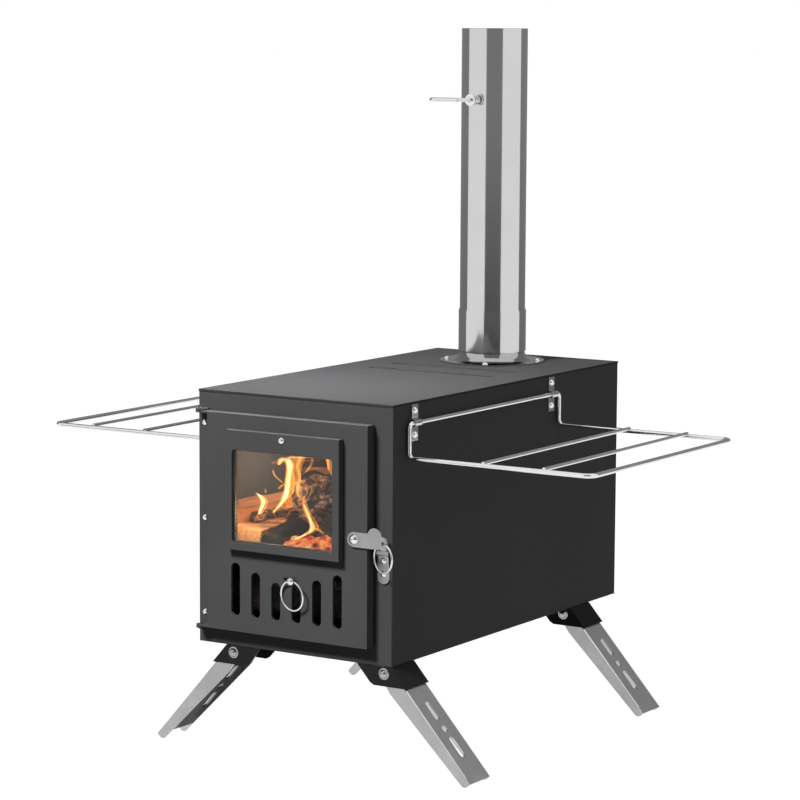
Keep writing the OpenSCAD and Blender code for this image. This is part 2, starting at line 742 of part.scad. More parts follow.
module air_knob() color("#c9c9c9") stove() translate([knob_x, 0, knob_z]) difference() {
    union() {
        rod_y(knob_d / 2, door_y - knob_out + knob_d / 4, door_y - ring_clear);
        intersection() {
            translate([0, door_y - knob_out + knob_d / 2, 0]) sphere(knob_d / 2);
            rod_y(knob_d / 2, door_y - knob_out, door_y - knob_out + knob_d / 2);
        }
        rod_y(stud_d / 2, door_y - ring_clear - see, shutter_y + shutter_t + tail_h);
        rod_y(stud_d / 2 + tail_grow, shutter_y + shutter_t, shutter_y + shutter_t + tail_h);
    }
    translate([0, knob_hole_y, 0]) rod_x_way(ring_hole_r, -knob_d, knob_d);
}

// A closed wire ring that hangs from the origin, facing the front
module hanging_ring(r) translate([0, 0, -r]) rotate([90, 0, 0]) rotate_extrude()
    translate([r, 0]) circle(ring_wire / 2, $fn = 32);

module air_ring() color("#c9c9c9") stove() translate([knob_x, knob_hole_y, knob_z])
    rotate([0, 0, -air_ring_turn]) rotate([ring_lean, 0, 0]) hanging_ring(air_ring_r);

// Latch

module latch_lever() color("#b0b0ac") stove() {
    tab_x = lever_x - thumb_r + 0.4;
    flange_x = lever_x - lever_t;
    back = -finger_y;
    difference() {
        union() {
            upright(lever_y, lever_t) {
                translate([latch_x, latch_z]) circle(lever_r);
                translate([latch_x, latch_z - lever_r]) square([lever_x - latch_x, 2 * lever_r]);
                intersection() {
                    translate([tab_x, latch_z + lever_r - 1.5]) circle(thumb_r);
                    translate([latch_x, latch_z]) square([lever_x - latch_x, 4 * lever_r]);
                }
            }
            translate([flange_x, 0, 0]) rotate([90, 0, 90]) linear_extrude(lever_t) polygon([
                [lever_y + lever_t / 2, latch_z + lever_r - 1.3],
                [keeper_face - 0.2, latch_z + 1.6],
                [-back, latch_z - 2.7],
                [-back, keeper_top - finger_in],
                [-keeper_off + finger_slack, keeper_top - finger_in],
                [-keeper_off + finger_slack, keeper_top + keeper_slack],
                [lever_y + 4 * lever_t, keeper_top + keeper_slack],
                [lever_y + lever_t / 2, latch_z - lever_r]]);
        }
        translate([latch_x, 0, latch_z]) rod_y(latch_pin_d / 2 + run, lever_y - 1, door_y);
        translate([lever_x, latch_ring_y, latch_ring_z]) rod_x_way(ring_hole_r, -3 * lever_t, 1);
    }
}

module latch_rivet() color("#c9c9c9") stove() translate([latch_x, 0, latch_z]) {
    fastener(lever_y - 0.1, 2.1 * latch_pin_d, 2.4, latch_pin_d, lever_t + lever_gap + 0.1 + door_t,
        tail_h);
}

module latch_ring() color("#c9c9c9") stove()
    translate([lever_x, latch_ring_y, latch_ring_z])
        rotate([0, 0, -latch_ring_turn]) hanging_ring(latch_ring_r);

function keeper_rivet_zs() = [keeper_top - 0.3 * keeper_h, keeper_top - 0.7 * keeper_h];

module latch_keeper() color("#9c9c98") stove() difference() {
    rise = keeper_top - keeper_bend;
    low = keeper_top - keeper_h;
    intersection() {
        translate([keeper_x - keeper_w / 2, 0, 0]) rotate([90, 0, 90]) linear_extrude(keeper_w)
            polygon([[0, low], [-keeper_t, low], [-keeper_t, rise],
                [keeper_face, rise + keeper_off], [keeper_face, keeper_top],
                [-keeper_off, keeper_top], [-keeper_off, rise + keeper_off / 2], [0, rise - keeper_off / 2]]);
        upright(keeper_face - 1, through) translate([keeper_x, low]) {
            translate([0, keeper_w / 2]) circle(keeper_w / 2);
            translate([-keeper_w / 2, keeper_w / 2]) square([keeper_w, keeper_h]);
        }
    }
    for (z = keeper_rivet_zs()) translate([keeper_x, 0, z])
        rod_y(rivet_d / 2 + run, -through, 1);
}

module keeper_rivets() color("#c9c9c9") stove() for (z = keeper_rivet_zs()) translate([keeper_x, 0, z])
    fastener(-keeper_t, rivet_head_d, rivet_head_h, rivet_d, keeper_t + sheet, tail_h);

// Side racks

module rack() {
    r = rack_r;
    far = rack_l;
    low = -rack_drop;
    rod_y(r, rod_bend, far - rod_bend);
    translate([0, rod_bend, -rod_bend]) rotate([90, 0, 90]) rotate(90) quarter(r, rod_bend);
    translate([0, far - rod_bend, -rod_bend]) rotate([90, 0, 90]) quarter(r, rod_bend);
    for (y = [0, far]) {
        translate([0, y, low + arm_bend]) cylinder(r = r, h = -low - arm_bend - rod_bend);
        translate([arm_bend, y, low + arm_bend]) rotate([90, 0, 0]) rotate(180) quarter(r, arm_bend);
        translate([0, y, low]) rod_x_way(r, arm_bend, rack_reach - outer_bend);
    }
    translate([rack_reach - outer_bend, outer_bend, low]) rotate(-90) quarter(r, outer_bend);
    translate([rack_reach - outer_bend, far - outer_bend, low]) quarter(r, outer_bend);
    translate([rack_reach, 0, low]) rod_y(r, outer_bend, far - outer_bend);
    for (x = [bar_in, bar_out]) translate([x, 0, low + rack_r])
        rod_y(bar_d / 2, -bar_over, far + bar_over);
}

module rack_right() color("#c4c4c4") stove() translate([rod_x, rack_front, rod_z]) rack();
module rack_left() color("#c4c4c4") stove() mirror([1, 0, 0]) translate([rod_x, rack_front, rod_z])
    rack();

module straps() for (y = strap_ys) translate([body_w / 2, y - strap_w / 2, rod_z]) difference() {
    centre = rod_gap + rack_r;
    outer = strap_bore + strap_t;
    upright(0, strap_w) difference() {
        union() {
            translate([0, -strap_h / 2]) square([strap_t, strap_h]);
            translate([centre, 0]) circle(outer);
            translate([0, -outer]) square([centre, 2 * outer]);
        }
        translate([centre, 0]) circle(strap_bore);
        translate([-2 * outer, -strap_bore]) square([2 * outer + centre, 2 * strap_bore]);
        translate([-2 * outer, -strap_h]) square([2 * outer, 2 * strap_h]);
    }
    for (z = [-strap_screw, strap_screw]) translate([0, strap_w / 2, z])
        rod_x_way(screw_d / 2 + run, -1, strap_t + 1);
}

module strap_screws() for (y = strap_ys, z = [-strap_screw, strap_screw])
    translate([body_w / 2 + strap_t, y, rod_z + z]) rotate([0, 0, 90])
        fastener(0, screw_head_d, screw_head_h, screw_d, strap_t + sheet, tail_h);

module straps_right() color("#c4c4c4") stove() straps();
module straps_left() color("#c4c4c4") stove() mirror([1, 0, 0]) straps();
module strap_screws_right() color("#d8d8d8") stove() strap_screws();
module strap_screws_left() color("#d8d8d8") stove() mirror([1, 0, 0]) strap_screws();

// Legs

// Carries a right-hand shape at a leg pivot to its place; the left side is its mirror image
module at_leg(right, rear) stove() {
    x = right ? right_x : -left_x;
    mirror([right ? 0 : 1, 0, 0]) translate([x, rear ? rear_leg : front_leg, -pivot_drop]) children();
}

function face_x(v, z) = (v - z * sin(splay)) / cos(splay);

module bracket_2d(thick) {
    hi = pivot_drop;
    lo = pivot_drop - bracket_h;
    f = bracket_face;
    cut = bracket_cut;
    polygon([[face_x(f, hi), hi], [face_x(f, hi) - thick, hi], [face_x(f, lo + cut) - thick, lo + cut],
        [face_x(f, lo) - thick + cut, lo], [face_x(f, lo), lo]]);
}

module bracket() {
    half = bracket_w / 2;
    difference() {
        for (y = [-half, half - bracket_t]) upright(y, bracket_t) bracket_2d(bracket_l);
        rod_y(bolt_d / 2 + run, -half - 1, half + 1);
    }
    upright(-half, bracket_w) difference() {
        bracket_2d(bracket_l);
        translate([-bracket_t / cos(splay), 0]) bracket_big_2d();
    }
}

module bracket_big_2d() polygon([[face_x(bracket_face, bracket_h), bracket_h],
    [-4 * bracket_l, bracket_h], [-4 * bracket_l, -2 * bracket_h],
    [face_x(bracket_face, -2 * bracket_h), -2 * bracket_h]]);

module leg_side_2d() difference() {
    union() {
        circle(head_r);
        polygon([[web_off, -web_top], [head_r * cos(30), head_r * sin(30)], [-head_r, 0],
            [web_off - leg_deep, -taper_top], [web_off - foot_deep, -leg_l + foot_r],
            [web_off - foot_deep + foot_r, -leg_l], [web_off, -leg_l]]);
        translate([web_off - foot_deep + foot_r, -leg_l + foot_r]) circle(foot_r);
    }
    circle(leg_bore);
}

module leg() rotate([0, -splay, 0]) {
    half = leg_w / 2;
    for (y = [-half, half - leg_t]) upright(y, leg_t) leg_side_2d();
    difference() {
        block([web_off - leg_t, -half, -leg_l], [web_off, half, -web_top]);
        for (h = leg_holes) translate([web_off - 2 * leg_t, 0, -h[1]]) rotate([90, 0, 90])
            linear_extrude(3 * leg_t) slot_2d(leg_slot, h[1] - h[0]);
    }
}

module leg_bolt() {
    half = bracket_w / 2;
    fastener(-half, bolt_flange_d, bolt_flange_h, bolt_d, bracket_w, bolt_tail);
    fastener(-half - bolt_rise, bolt_head_d, bolt_head_h, bolt_d, bracket_w + bolt_rise, bolt_tail);
    translate([0, half, 0]) rotate([-90, 0, 0]) cylinder(r = nut_r, h = nut_h, $fn = 6);
}

module bracket_front_right() color("#2a2a2a") at_leg(true, false) bracket();
module bracket_front_left() color("#2a2a2a") at_leg(false, false) bracket();
module bracket_rear_right() color("#2a2a2a") at_leg(true, true) bracket();
module bracket_rear_left() color("#2a2a2a") at_leg(false, true) bracket();
module leg_front_right() color("#b8b8b8") at_leg(true, false) leg();
module leg_front_left() color("#b8b8b8") at_leg(false, false) leg();
module leg_rear_right() color("#b8b8b8") at_leg(true, true) leg();
module leg_rear_left() color("#b8b8b8") at_leg(false, true) leg();
module bolt_front_right() color("#c9c9c9") at_leg(true, false) leg_bolt();
module bolt_front_left() color("#c9c9c9") at_leg(false, false) leg_bolt();
module bolt_rear_right() color("#c9c9c9") at_leg(true, true) leg_bolt();
module bolt_rear_left() color("#c9c9c9") at_leg(false, true) leg_bolt();

body_shell();
cooktop();
front_frame();
back_panel();
smoke_baffle();
fire_grate();
flue_collar();
flue_screws();
chimney_pipe();
damper_plate();
damper_rod();
damper_spring();
damper_washer();
hinge_strip();
hinge_rivets();
hinge_pins();
latch_keeper();
keeper_rivets();
door_panel();
door_seal();
window_frame();
window_glass();
window_gasket();
window_screw();
shutter_rails();
air_shutter();
air_knob();
air_ring();
latch_lever();
latch_rivet();
latch_ring();
rack_right();
rack_left();
straps_right();
straps_left();
strap_screws_right();
strap_screws_left();
bracket_front_right();
bracket_front_left();
bracket_rear_right();
bracket_rear_left();
leg_front_right();
leg_front_left();
leg_rear_right();
leg_rear_left();
bolt_front_right();
bolt_front_left();
bolt_rear_right();
bolt_rear_left();
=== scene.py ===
"""A portable tent stove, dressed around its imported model.

Every visible piece is a softened and finished copy of the solid it stands for, or a new piece that
sits on one. Lengths are in metres unless a name ends in _mm; stove millimetres are measured from the
middle of the firebox's lower front edge, as the part's source does.
"""

from __future__ import annotations

import json
import logging
import math
import random
from collections.abc import Callable, Sequence
from dataclasses import dataclass, field
from enum import Enum, IntEnum
from functools import cached_property

import bmesh
import bpy
from mathutils import Matrix, Vector, noise

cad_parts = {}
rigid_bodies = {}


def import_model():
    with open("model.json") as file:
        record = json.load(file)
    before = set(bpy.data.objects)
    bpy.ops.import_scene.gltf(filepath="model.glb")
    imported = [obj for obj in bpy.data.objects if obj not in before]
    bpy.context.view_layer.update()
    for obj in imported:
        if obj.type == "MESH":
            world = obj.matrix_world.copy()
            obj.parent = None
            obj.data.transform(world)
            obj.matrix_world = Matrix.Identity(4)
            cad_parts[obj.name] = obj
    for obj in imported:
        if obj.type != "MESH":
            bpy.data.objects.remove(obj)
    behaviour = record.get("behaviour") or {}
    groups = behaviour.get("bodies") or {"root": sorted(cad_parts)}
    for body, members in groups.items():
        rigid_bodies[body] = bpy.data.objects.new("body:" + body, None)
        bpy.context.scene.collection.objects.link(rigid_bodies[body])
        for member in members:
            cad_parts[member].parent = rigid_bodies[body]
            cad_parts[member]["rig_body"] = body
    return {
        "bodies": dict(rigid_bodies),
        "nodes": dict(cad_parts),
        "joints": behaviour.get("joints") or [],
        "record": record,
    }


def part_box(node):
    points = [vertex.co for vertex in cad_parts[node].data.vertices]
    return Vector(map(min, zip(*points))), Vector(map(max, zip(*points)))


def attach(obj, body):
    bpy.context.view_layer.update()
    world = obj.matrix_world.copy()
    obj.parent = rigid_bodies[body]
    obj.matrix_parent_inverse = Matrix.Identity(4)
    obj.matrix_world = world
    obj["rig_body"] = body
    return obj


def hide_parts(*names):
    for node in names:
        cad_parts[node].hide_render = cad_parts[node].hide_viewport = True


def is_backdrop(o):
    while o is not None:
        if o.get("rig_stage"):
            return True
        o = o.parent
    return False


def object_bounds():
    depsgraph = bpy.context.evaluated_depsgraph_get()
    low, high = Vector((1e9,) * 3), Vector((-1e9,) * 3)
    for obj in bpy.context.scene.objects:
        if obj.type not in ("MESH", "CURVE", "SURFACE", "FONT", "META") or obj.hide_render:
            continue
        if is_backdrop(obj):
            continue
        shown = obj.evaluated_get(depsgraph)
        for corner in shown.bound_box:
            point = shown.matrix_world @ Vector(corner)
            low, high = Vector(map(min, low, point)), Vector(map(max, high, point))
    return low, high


log = logging.getLogger("tent_stove")

MM = 0.001
MERGE_WITHIN = 2e-6
FLAT_WITHIN = math.radians(0.3)
CORNER_FROM = math.radians(30)
CREASE_FROM = math.radians(38)
NOISE_LOW = 0.3
NOISE_HIGH = 0.7
SEED = 11

Triple = tuple[float, float, float]
Pair = tuple[float, float]
Socket = bpy.types.NodeSocket
EdgeTest = Callable[[bmesh.types.BMEdge], bool]

EVEN: Triple = (1.0, 1.0, 1.0)
UNTURNED: Triple = (0.0, 0.0, 0.0)
WHITE: Triple = (1.0, 1.0, 1.0)


class Axis(IntEnum):
    """The shared frame's axes."""

    ACROSS = 0
    DEEP = 1
    UP = 2


class Slot(Enum):
    """The record's material slots."""

    BLACK = "black_coat"
    GREY = "grey_coat"
    FIRE = "fire_steel"
    FLUE = "flue_steel"
    ZINC = "zinc_steel"
    BRIGHT = "bright_steel"
    GLASS = "clear_glass"
    ROPE = "rope"


def shade(tone: Triple, share: float) -> Triple:
    """Returns a tone made lighter or darker by a share."""
    return (tone[0] * share, tone[1] * share, tone[2] * share)


def grey(level: float) -> Triple:
    """Returns an even grey."""
    return (level, level, level)


class Recipe:
    """Puts the nodes of one material, or of the world, together."""

    def __init__(self, owner: bpy.types.Material | bpy.types.World) -> None:
        """Starts with no nodes.

        Args:
            owner: The material or world that the nodes belong to.
        """
        owner.use_nodes = True
        self.tree = owner.node_tree
        self.tree.nodes.clear()

    @cached_property
    def place(self) -> Socket:
        """The piece's own coordinates."""
        return self.add("ShaderNodeTexCoord", {}).outputs["Object"]

    @cached_property
    def height(self) -> Socket:
        """The height on the piece's own coordinates."""
        return self.add("ShaderNodeSeparateXYZ", {"Vector": self.place}).outputs["Z"]

    def add(self, kind: str, sockets: dict[str | int, object], **settings: object) -> bpy.types.Node:
        """Adds one node.

        Args:
            kind: Blender's name of the node.
            sockets: Input values or links, by socket name or number.
            settings: Properties of the node itself.

        Returns:
            The new node.
        """
        node = self.tree.nodes.new(kind)
        for key, value in settings.items():
            setattr(node, key, value)
        for key, value in sockets.items():
            socket = node.inputs[key]
            if isinstance(value, Socket):
                self.tree.links.new(value, socket)
            elif isinstance(value, tuple) and len(value) == 3 and socket.type == "RGBA":
                socket.default_value = (*value, 1.0)
            else:
                socket.default_value = value
        return node

    def mapped(self, stretch: Triple = EVEN, turn: Triple = UNTURNED) -> Socket:
        """Stretches and turns the piece's own coordinates."""
        return self.add("ShaderNodeMapping", {
            "Vector": self.place, "Scale": stretch, "Rotation": turn}).outputs["Vector"]

    def grain(self, per_metre: float, detail: float = 3.0, stretch: Triple = EVEN,
              rough: float = 0.5, warp: float = 0.0) -> Socket:
        """Adds a noise on the piece's own coordinates.

        Args:
            per_metre: Grains to the metre.
            detail: Octaves of the noise.
            stretch: Scale of each axis, below 1 for long grains.
            rough: Weight of the finer octaves.
            warp: Distortion of the noise.

        Returns:
            The noise's grey value.
        """
        return self.add("ShaderNodeTexNoise", {
            "Vector": self.mapped(stretch), "Scale": per_metre, "Detail": detail,
            "Roughness": rough, "Distortion": warp}).outputs["Fac"]

    def cells(self, per_metre: float, stretch: Triple = EVEN, feature: str = "F1") -> Socket:
        """Adds a cell pattern.

        Args:
            per_metre: Cells to the metre.
            stretch: Scale of each axis.
            feature: Which distance the cells give.

        Returns:
            The distance's grey value.
        """
        return self.add("ShaderNodeTexVoronoi", {"Vector": self.mapped(stretch), "Scale": per_metre},
                        feature=feature).outputs["Distance"]

    def combine(self, operation: str, one: Socket | float, two: Socket | float) -> Socket:
        """Puts two values through one of the math node's operations."""
        return self.add("ShaderNodeMath", {0: one, 1: two}, operation=operation).outputs[0]

    def span(self, value: Socket, low: float, high: float, to_low: float, to_high: float) -> Socket:
        """Maps one range of a value onto another, held at both ends."""
        return self.add("ShaderNodeMapRange", {
            "Value": value, "From Min": low, "From Max": high, "To Min": to_low,
            "To Max": to_high}).outputs["Result"]

    def vary(self, grain: Socket, to_low: float, to_high: float) -> Socket:
        """Maps the range that a noise mostly keeps to onto another."""
        return self.span(grain, NOISE_LOW, NOISE_HIGH, to_low, to_high)

    def ramp(self, value: Socket, stops: Sequence[tuple[float, Triple]]) -> Socket:
        """Turns a value into a colour.

        Args:
            value: Where on the ramp.
            stops: Places and their colours, in order.

        Returns:
            The colour.
        """
        node = self.add("ShaderNodeValToRGB", {"Fac": value})
        band = node.color_ramp.elements
        while len(band) < len(stops):
            band.new(1.0)
        for mark, (spot, tone) in zip(band, stops):
            mark.position = spot
            mark.color = (*tone, 1.0)
        return node.outputs["Color"]

    def mottle(self, grain: Socket, tone: Triple, darker: float, lighter: float) -> Socket:
        """Spreads a tone along a noise, between a darker and a lighter share of it."""
        return self.ramp(grain, [(NOISE_LOW, shade(tone, darker)), (NOISE_HIGH, shade(tone, lighter))])

    def blend(self, share: Socket, under: Socket, over: Triple) -> Socket:
        """Lays a colour over another by a share, on the sockets that the mix keeps for colours."""
        return self.add("ShaderNodeMix", {0: share, 6: under, 7: over}, data_type="RGBA").outputs[2]

    def relief(self, height: Socket, strength: float, depth: float,
               over: Socket | None = None) -> Socket:
        """Turns a height into a bumped normal.

        Args:
            height: The height's value.
            strength: Share of the bump that shows.
            depth: Depth of the bump, in metres.
            over: A coarser bump under this one.

        Returns:
            The normal.
        """
        sockets: dict[str | int, object] = {"Height": height, "Strength": strength, "Distance": depth}
        if over is not None:
            sockets["Normal"] = over
        return self.add("ShaderNodeBump", sockets).outputs["Normal"]

    def seen(self) -> Socket:
        """Gives 1 where the camera looks, directly, in polished metal or through glass."""
        rays = self.add("ShaderNodeLightPath", {}).outputs
        looks = rays["Is Camera Ray"]
        for other in ("Is Glossy Ray", "Is Transmission Ray"):
            looks = self.combine("MAXIMUM", looks, rays[other])
        return looks

    def surface(self, sockets: dict[str | int, object]) -> Socket:
        """Adds one principled surface and returns its shader."""
        return self.add("ShaderNodeBsdfPrincipled", sockets).outputs[0]

    def glow(self, colour: Socket | Triple, strength: Socket | float) -> Socket:
        """Adds plain light and returns its shader."""
        return self.add("ShaderNodeEmission", {"Color": colour, "Strength": strength}).outputs[0]

    def end(self, shader: Socket, output: str = "ShaderNodeOutputMaterial") -> None:
        """Links the shader to an output."""
        self.add(output, {"Surface": shader})


@dataclass(frozen=True)
class Finish:
    """A finish, known by its name. Each kind of finish mixes its own shader."""

    name: str

    def mix(self, r: Recipe) -> Socket:
        """Mixes the shader."""
        raise NotImplementedError

    def build(self) -> bpy.types.Material:
        """Builds the finish's material."""
        material = bpy.data.materials.new(self.name)
        recipe = Recipe(material)
        recipe.end(self.mix(recipe))
        return material


@dataclass(frozen=True)
class PowderCoat(Finish):
    """Matt heat-proof coating, with a fine sandy skin and faint worn patches."""

    tone: Triple
    roughness: float
    specular: float

    def mix(self, r: Recipe) -> Socket:
        """Mixes the coating."""
        sand = r.grain(per_metre=1900.0, detail=2.0)
        skin = r.grain(per_metre=520.0, detail=2.0)
        patch = r.grain(per_metre=9.0, detail=4.0, warp=0.6)
        coarse = r.relief(skin, strength=0.10, depth=0.0003)
        return r.surface({
            "Base Color": r.mottle(patch, self.tone, darker=0.93, lighter=1.07),
            "Specular IOR Level": self.specular,
            "Roughness": r.vary(patch, self.roughness - 0.04, self.roughness + 0.05),
            "Normal": r.relief(sand, strength=0.16, depth=0.00012, over=coarse)})


@dataclass(frozen=True)
class RolledSteel(Finish):
    """Metal sheet, bar or wire, with the drawn marks of its making.

    Attributes:
        tone: What it reflects.
        roughness: Its roughness between the marks.
        drawn: Stretch of the marks, below 1 along the way it was drawn.
        cloud: Share by which its tone comes and goes.
        spread: How far the marks change its roughness.
        marks: Strength of the marks.
    """

    tone: Triple
    roughness: float
    drawn: Triple = EVEN
    cloud: float = 0.06
    spread: float = 0.05
    marks: float = 0.03

    def mix(self, r: Recipe) -> Socket:
        """Mixes the metal."""
        cloud = r.grain(per_metre=35.0, detail=4.0, warp=0.4)
        lines = r.grain(per_metre=900.0, stretch=self.drawn)
        return r.surface({
            "Base Color": r.mottle(cloud, self.tone, 1.0 - self.cloud, 1.0 + self.cloud), "Metallic": 1.0,
            "Roughness": r.vary(lines, self.roughness - self.spread, self.roughness + self.spread),
            "Normal": r.relief(lines, self.marks, depth=0.0001)})


@dataclass(frozen=True)
class ScaledSteel(Finish):
    """Bare fire steel, with mill scale and a little soot."""

    tone: Triple
    rust: Triple = (0.30, 0.22, 0.17)

    def mix(self, r: Recipe) -> Socket:
        """Mixes the fire steel."""
        scale = r.grain(per_metre=60.0, detail=6.0, warp=1.2)
        pits = r.grain(per_metre=700.0)
        colour = r.ramp(scale, [(0.3, shade(self.tone, 0.45)), (0.52, self.tone), (0.72, self.rust)])
        return r.surface({
            "Base Color": colour, "Metallic": 0.7, "Roughness": r.vary(scale, 0.45, 0.75),
            "Normal": r.relief(pits, strength=0.25, depth=0.0002)})


@dataclass(frozen=True)
class ClearCeramic(Finish):
    """The window's heat-proof glass."""

    tone: Triple = (0.97, 0.98, 0.96)

    def mix(self, r: Recipe) -> Socket:
        """Mixes the glass."""
        breath = r.grain(per_metre=22.0, warp=0.5)
        return r.surface({"Base Color": r.mottle(breath, self.tone, darker=0.97, lighter=1.0),
                          "Roughness": 0.0, "IOR": 1.46, "Transmission Weight": 1.0})


@dataclass(frozen=True)
class BraidedRope(Finish):
    """Glass-fibre rope, braided and pressed into its rim."""

    tone: Triple
    lay: float = math.radians(45)

    def mix(self, r: Recipe) -> Socket:
        """Mixes the rope."""
        one, two = (r.add("ShaderNodeTexWave", {
            "Vector": r.mapped(turn=(0.0, turn, 0.0)), "Scale": 130.0, "Distortion": 0.6,
            "Detail": 1.0}).outputs["Fac"] for turn in (self.lay, -self.lay))
        braid = r.combine("MULTIPLY", one, two)
        soot = r.grain(per_metre=45.0, detail=4.0)
        weave = r.ramp(braid, [(0.0, shade(self.tone, 0.55)), (0.6, self.tone)])
        colour = r.blend(r.span(soot, 0.45, 0.7, 0.0, 0.6), weave, shade(self.tone, 0.45))
        return r.surface({"Base Color": colour, "Roughness": 0.9, "Sheen Weight": 0.2,
                          "Normal": r.relief(braid, strength=0.6, depth=0.0006)})


@dataclass(frozen=True)
class CharredBark(Finish):
    """Bark that burns: dark ridges, tan broken faces and glowing cracks.

    Attributes:
        wood: Tone of the broken faces.
        char: Share of the faces that char can cover.
        heat: Strength of the glow in the cracks.
        ridge: Tone of the ridges.
        soot: Tone of the char.
        ember: Colour of the glow.
    """

    wood: Triple
    char: float
    heat: float
    ridge: Triple = (0.008, 0.006, 0.005)
    soot: Triple = (0.012, 0.010, 0.010)
    ember: Triple = (1.0, 0.24, 0.03)

    def mix(self, r: Recipe) -> Socket:
        """Mixes the bark."""
        ridges = r.grain(95.0, detail=7.0, stretch=(1.0, 0.35, 1.0), rough=0.65, warp=1.4)
        burnt = r.grain(28.0, detail=5.0, stretch=(1.0, 0.5, 1.0), rough=0.6, warp=0.8)
        cracks = r.cells(120.0, (1.0, 0.45, 1.0), "DISTANCE_TO_EDGE")
        wood = r.ramp(ridges, [(0.42, self.ridge), (0.52, shade(self.wood, 0.3)),
                               (0.60, self.wood), (0.70, shade(self.wood, 1.8))])
        heat = r.combine("MULTIPLY", r.span(cracks, 0.0, 0.05, 1.0, 0.0),
                         r.span(burnt, 0.5, 0.62, 0.0, self.heat))
        return r.surface({
            "Base Color": r.blend(r.span(burnt, 0.42, 0.6, 0.0, self.char), wood, self.soot),
            "Roughness": 0.8, "Emission Color": self.ember, "Emission Strength": heat,
            "Normal": r.relief(ridges, strength=0.8, depth=0.004)})


@dataclass(frozen=True)
class SawnWood(Finish):
    """Split or sawn wood in firelight, with long grain."""

    tone: Triple
    scorch: Triple = (0.03, 0.018, 0.012)

    def mix(self, r: Recipe) -> Socket:
        """Mixes the wood."""
        fibres = r.grain(420.0, detail=4.0, stretch=(1.0, 0.07, 1.0), rough=0.6, warp=0.4)
        burnt = r.grain(24.0, detail=4.0, warp=0.6)
        wood = r.ramp(fibres, [(0.3, shade(self.tone, 0.55)), (0.55, self.tone),
                               (0.75, shade(self.tone, 1.3))])
        return r.surface({
            "Base Color": r.blend(r.span(burnt, 0.55, 0.72, 0.0, 0.85), wood, self.scorch),
            "Roughness": 0.75, "Normal": r.relief(fibres, strength=0.35, depth=0.001)})


@dataclass(frozen=True)
class GlowingEmbers(Finish):
    """A bed of coals, dark below and bright between its crusts on top.

    Attributes:
        cold: Height up to which the coals are dark.
        hot: Height from which they are at their brightest.
        strength: Their brightness there.
        crust: Tone of the crusts.
    """

    cold: float
    hot: float
    strength: float = 0.8
    crust: Triple = (0.02, 0.015, 0.012)

    def mix(self, r: Recipe) -> Socket:
        """Mixes the embers."""
        lumps = r.cells(115.0)
        flow = r.grain(130.0, detail=5.0, warp=1.0)
        glow = r.ramp(r.span(r.combine("ADD", lumps, flow), 0.5, 1.3, 0.0, 1.0), [
            (0.15, (0.02, 0.003, 0.002)), (0.36, (0.60, 0.03, 0.008)), (0.55, (0.95, 0.13, 0.02)),
            (0.8, (1.0, 0.30, 0.06)), (1.0, (1.0, 0.55, 0.18))])
        return r.surface({
            "Base Color": self.crust, "Roughness": 0.9, "Emission Color": glow,
            "Emission Strength": r.span(r.height, self.cold, self.hot, 0.0, self.strength),
            "Normal": r.relief(lumps, strength=0.6, depth=0.004)})


@dataclass(frozen=True)
class FlameVeil(Finish):
    """One see-through layer of a flame, whose light adds up with the layers behind it.

    Attributes:
        foot: Colour at the flame's foot.
        tip: Colour at its tip.
        strength: Brightness of its licks.
        low: Height of the foot.
        high: Height of the tip.
    """

    foot: Triple
    tip: Triple
    strength: float
    low: float
    high: float

    def mix(self, r: Recipe) -> Socket:
        """Mixes the layer."""
        colour = r.ramp(r.span(r.height, self.low, self.high, 0.0, 1.0),
                        [(0.0, self.foot), (1.0, self.tip)])
        licks = r.grain(95.0, stretch=(1.0, 1.0, 0.3), warp=1.2)
        light = r.glow(colour, r.span(licks, 0.35, 0.65, 0.25 * self.strength, self.strength))
        clear = r.add("ShaderNodeBsdfTransparent", {}).outputs[0]
        return r.add("ShaderNodeAddShader", {0: light, 1: clear}).outputs[0]


@dataclass(frozen=True)
class CardPaper(Finish):
    """A studio card, one grey near the floor and another further up, that polished metal mirrors."""

    low: float
    high: float
    from_height: float = 0.12
    to_height: float = 0.45

    def mix(self, r: Recipe) -> Socket:
        """Mixes the card."""
        return r.glow(WHITE, r.span(r.height, self.from_height, self.to_height, self.low, self.high))


@dataclass(frozen=True)
class PaleFloor(Finish):
    """A white floor that keeps a faint shadow.

    Attributes:
        shadow: Share that the lit floor, with its shadow, has in what the camera sees.
        tone: Tone of the lit floor.
        white: Strength of the plain white that makes up the rest.
    """

    shadow: float = 0.3
    tone: Triple = grey(0.12)
    white: float = 1.45

    def mix(self, r: Recipe) -> Socket:
        """Mixes the floor."""
        cover = r.combine("MULTIPLY", r.seen(), 1.0 - self.shadow)
        matt = r.add("ShaderNodeBsdfDiffuse", {"Color": self.tone}).outputs[0]
        return r.add("ShaderNodeMixShader", {0: cover, 1: matt, 2: r.glow(WHITE, self.white)}).outputs[0]


FINISHES: dict[Slot, Finish] = {
    Slot.BLACK: PowderCoat("coat_black", (0.048, 0.048, 0.049), 0.64, 0.08),
    Slot.GREY: PowderCoat("coat_satin", (0.050, 0.050, 0.051), 0.58, 0.07),
    Slot.FIRE: ScaledSteel("steel_fire", (0.20, 0.19, 0.18)),
    Slot.FLUE: RolledSteel("steel_flue", grey(0.62), 0.10, drawn=(1.0, 1.0, 0.03), cloud=0.02,
                           spread=0.02, marks=0.01),
    Slot.ZINC: RolledSteel("steel_zinc", (0.46, 0.46, 0.455), 0.42, drawn=(0.3, 1.0, 0.3), cloud=0.08,
                           spread=0.06, marks=0.05),
    Slot.BRIGHT: RolledSteel("steel_bright", grey(0.76), 0.11, cloud=0.04, spread=0.04, marks=0.02),
    Slot.GLASS: ClearCeramic("glass_clear"),
    Slot.ROPE: BraidedRope("rope_glass_fibre", (0.42, 0.40, 0.36)),
}


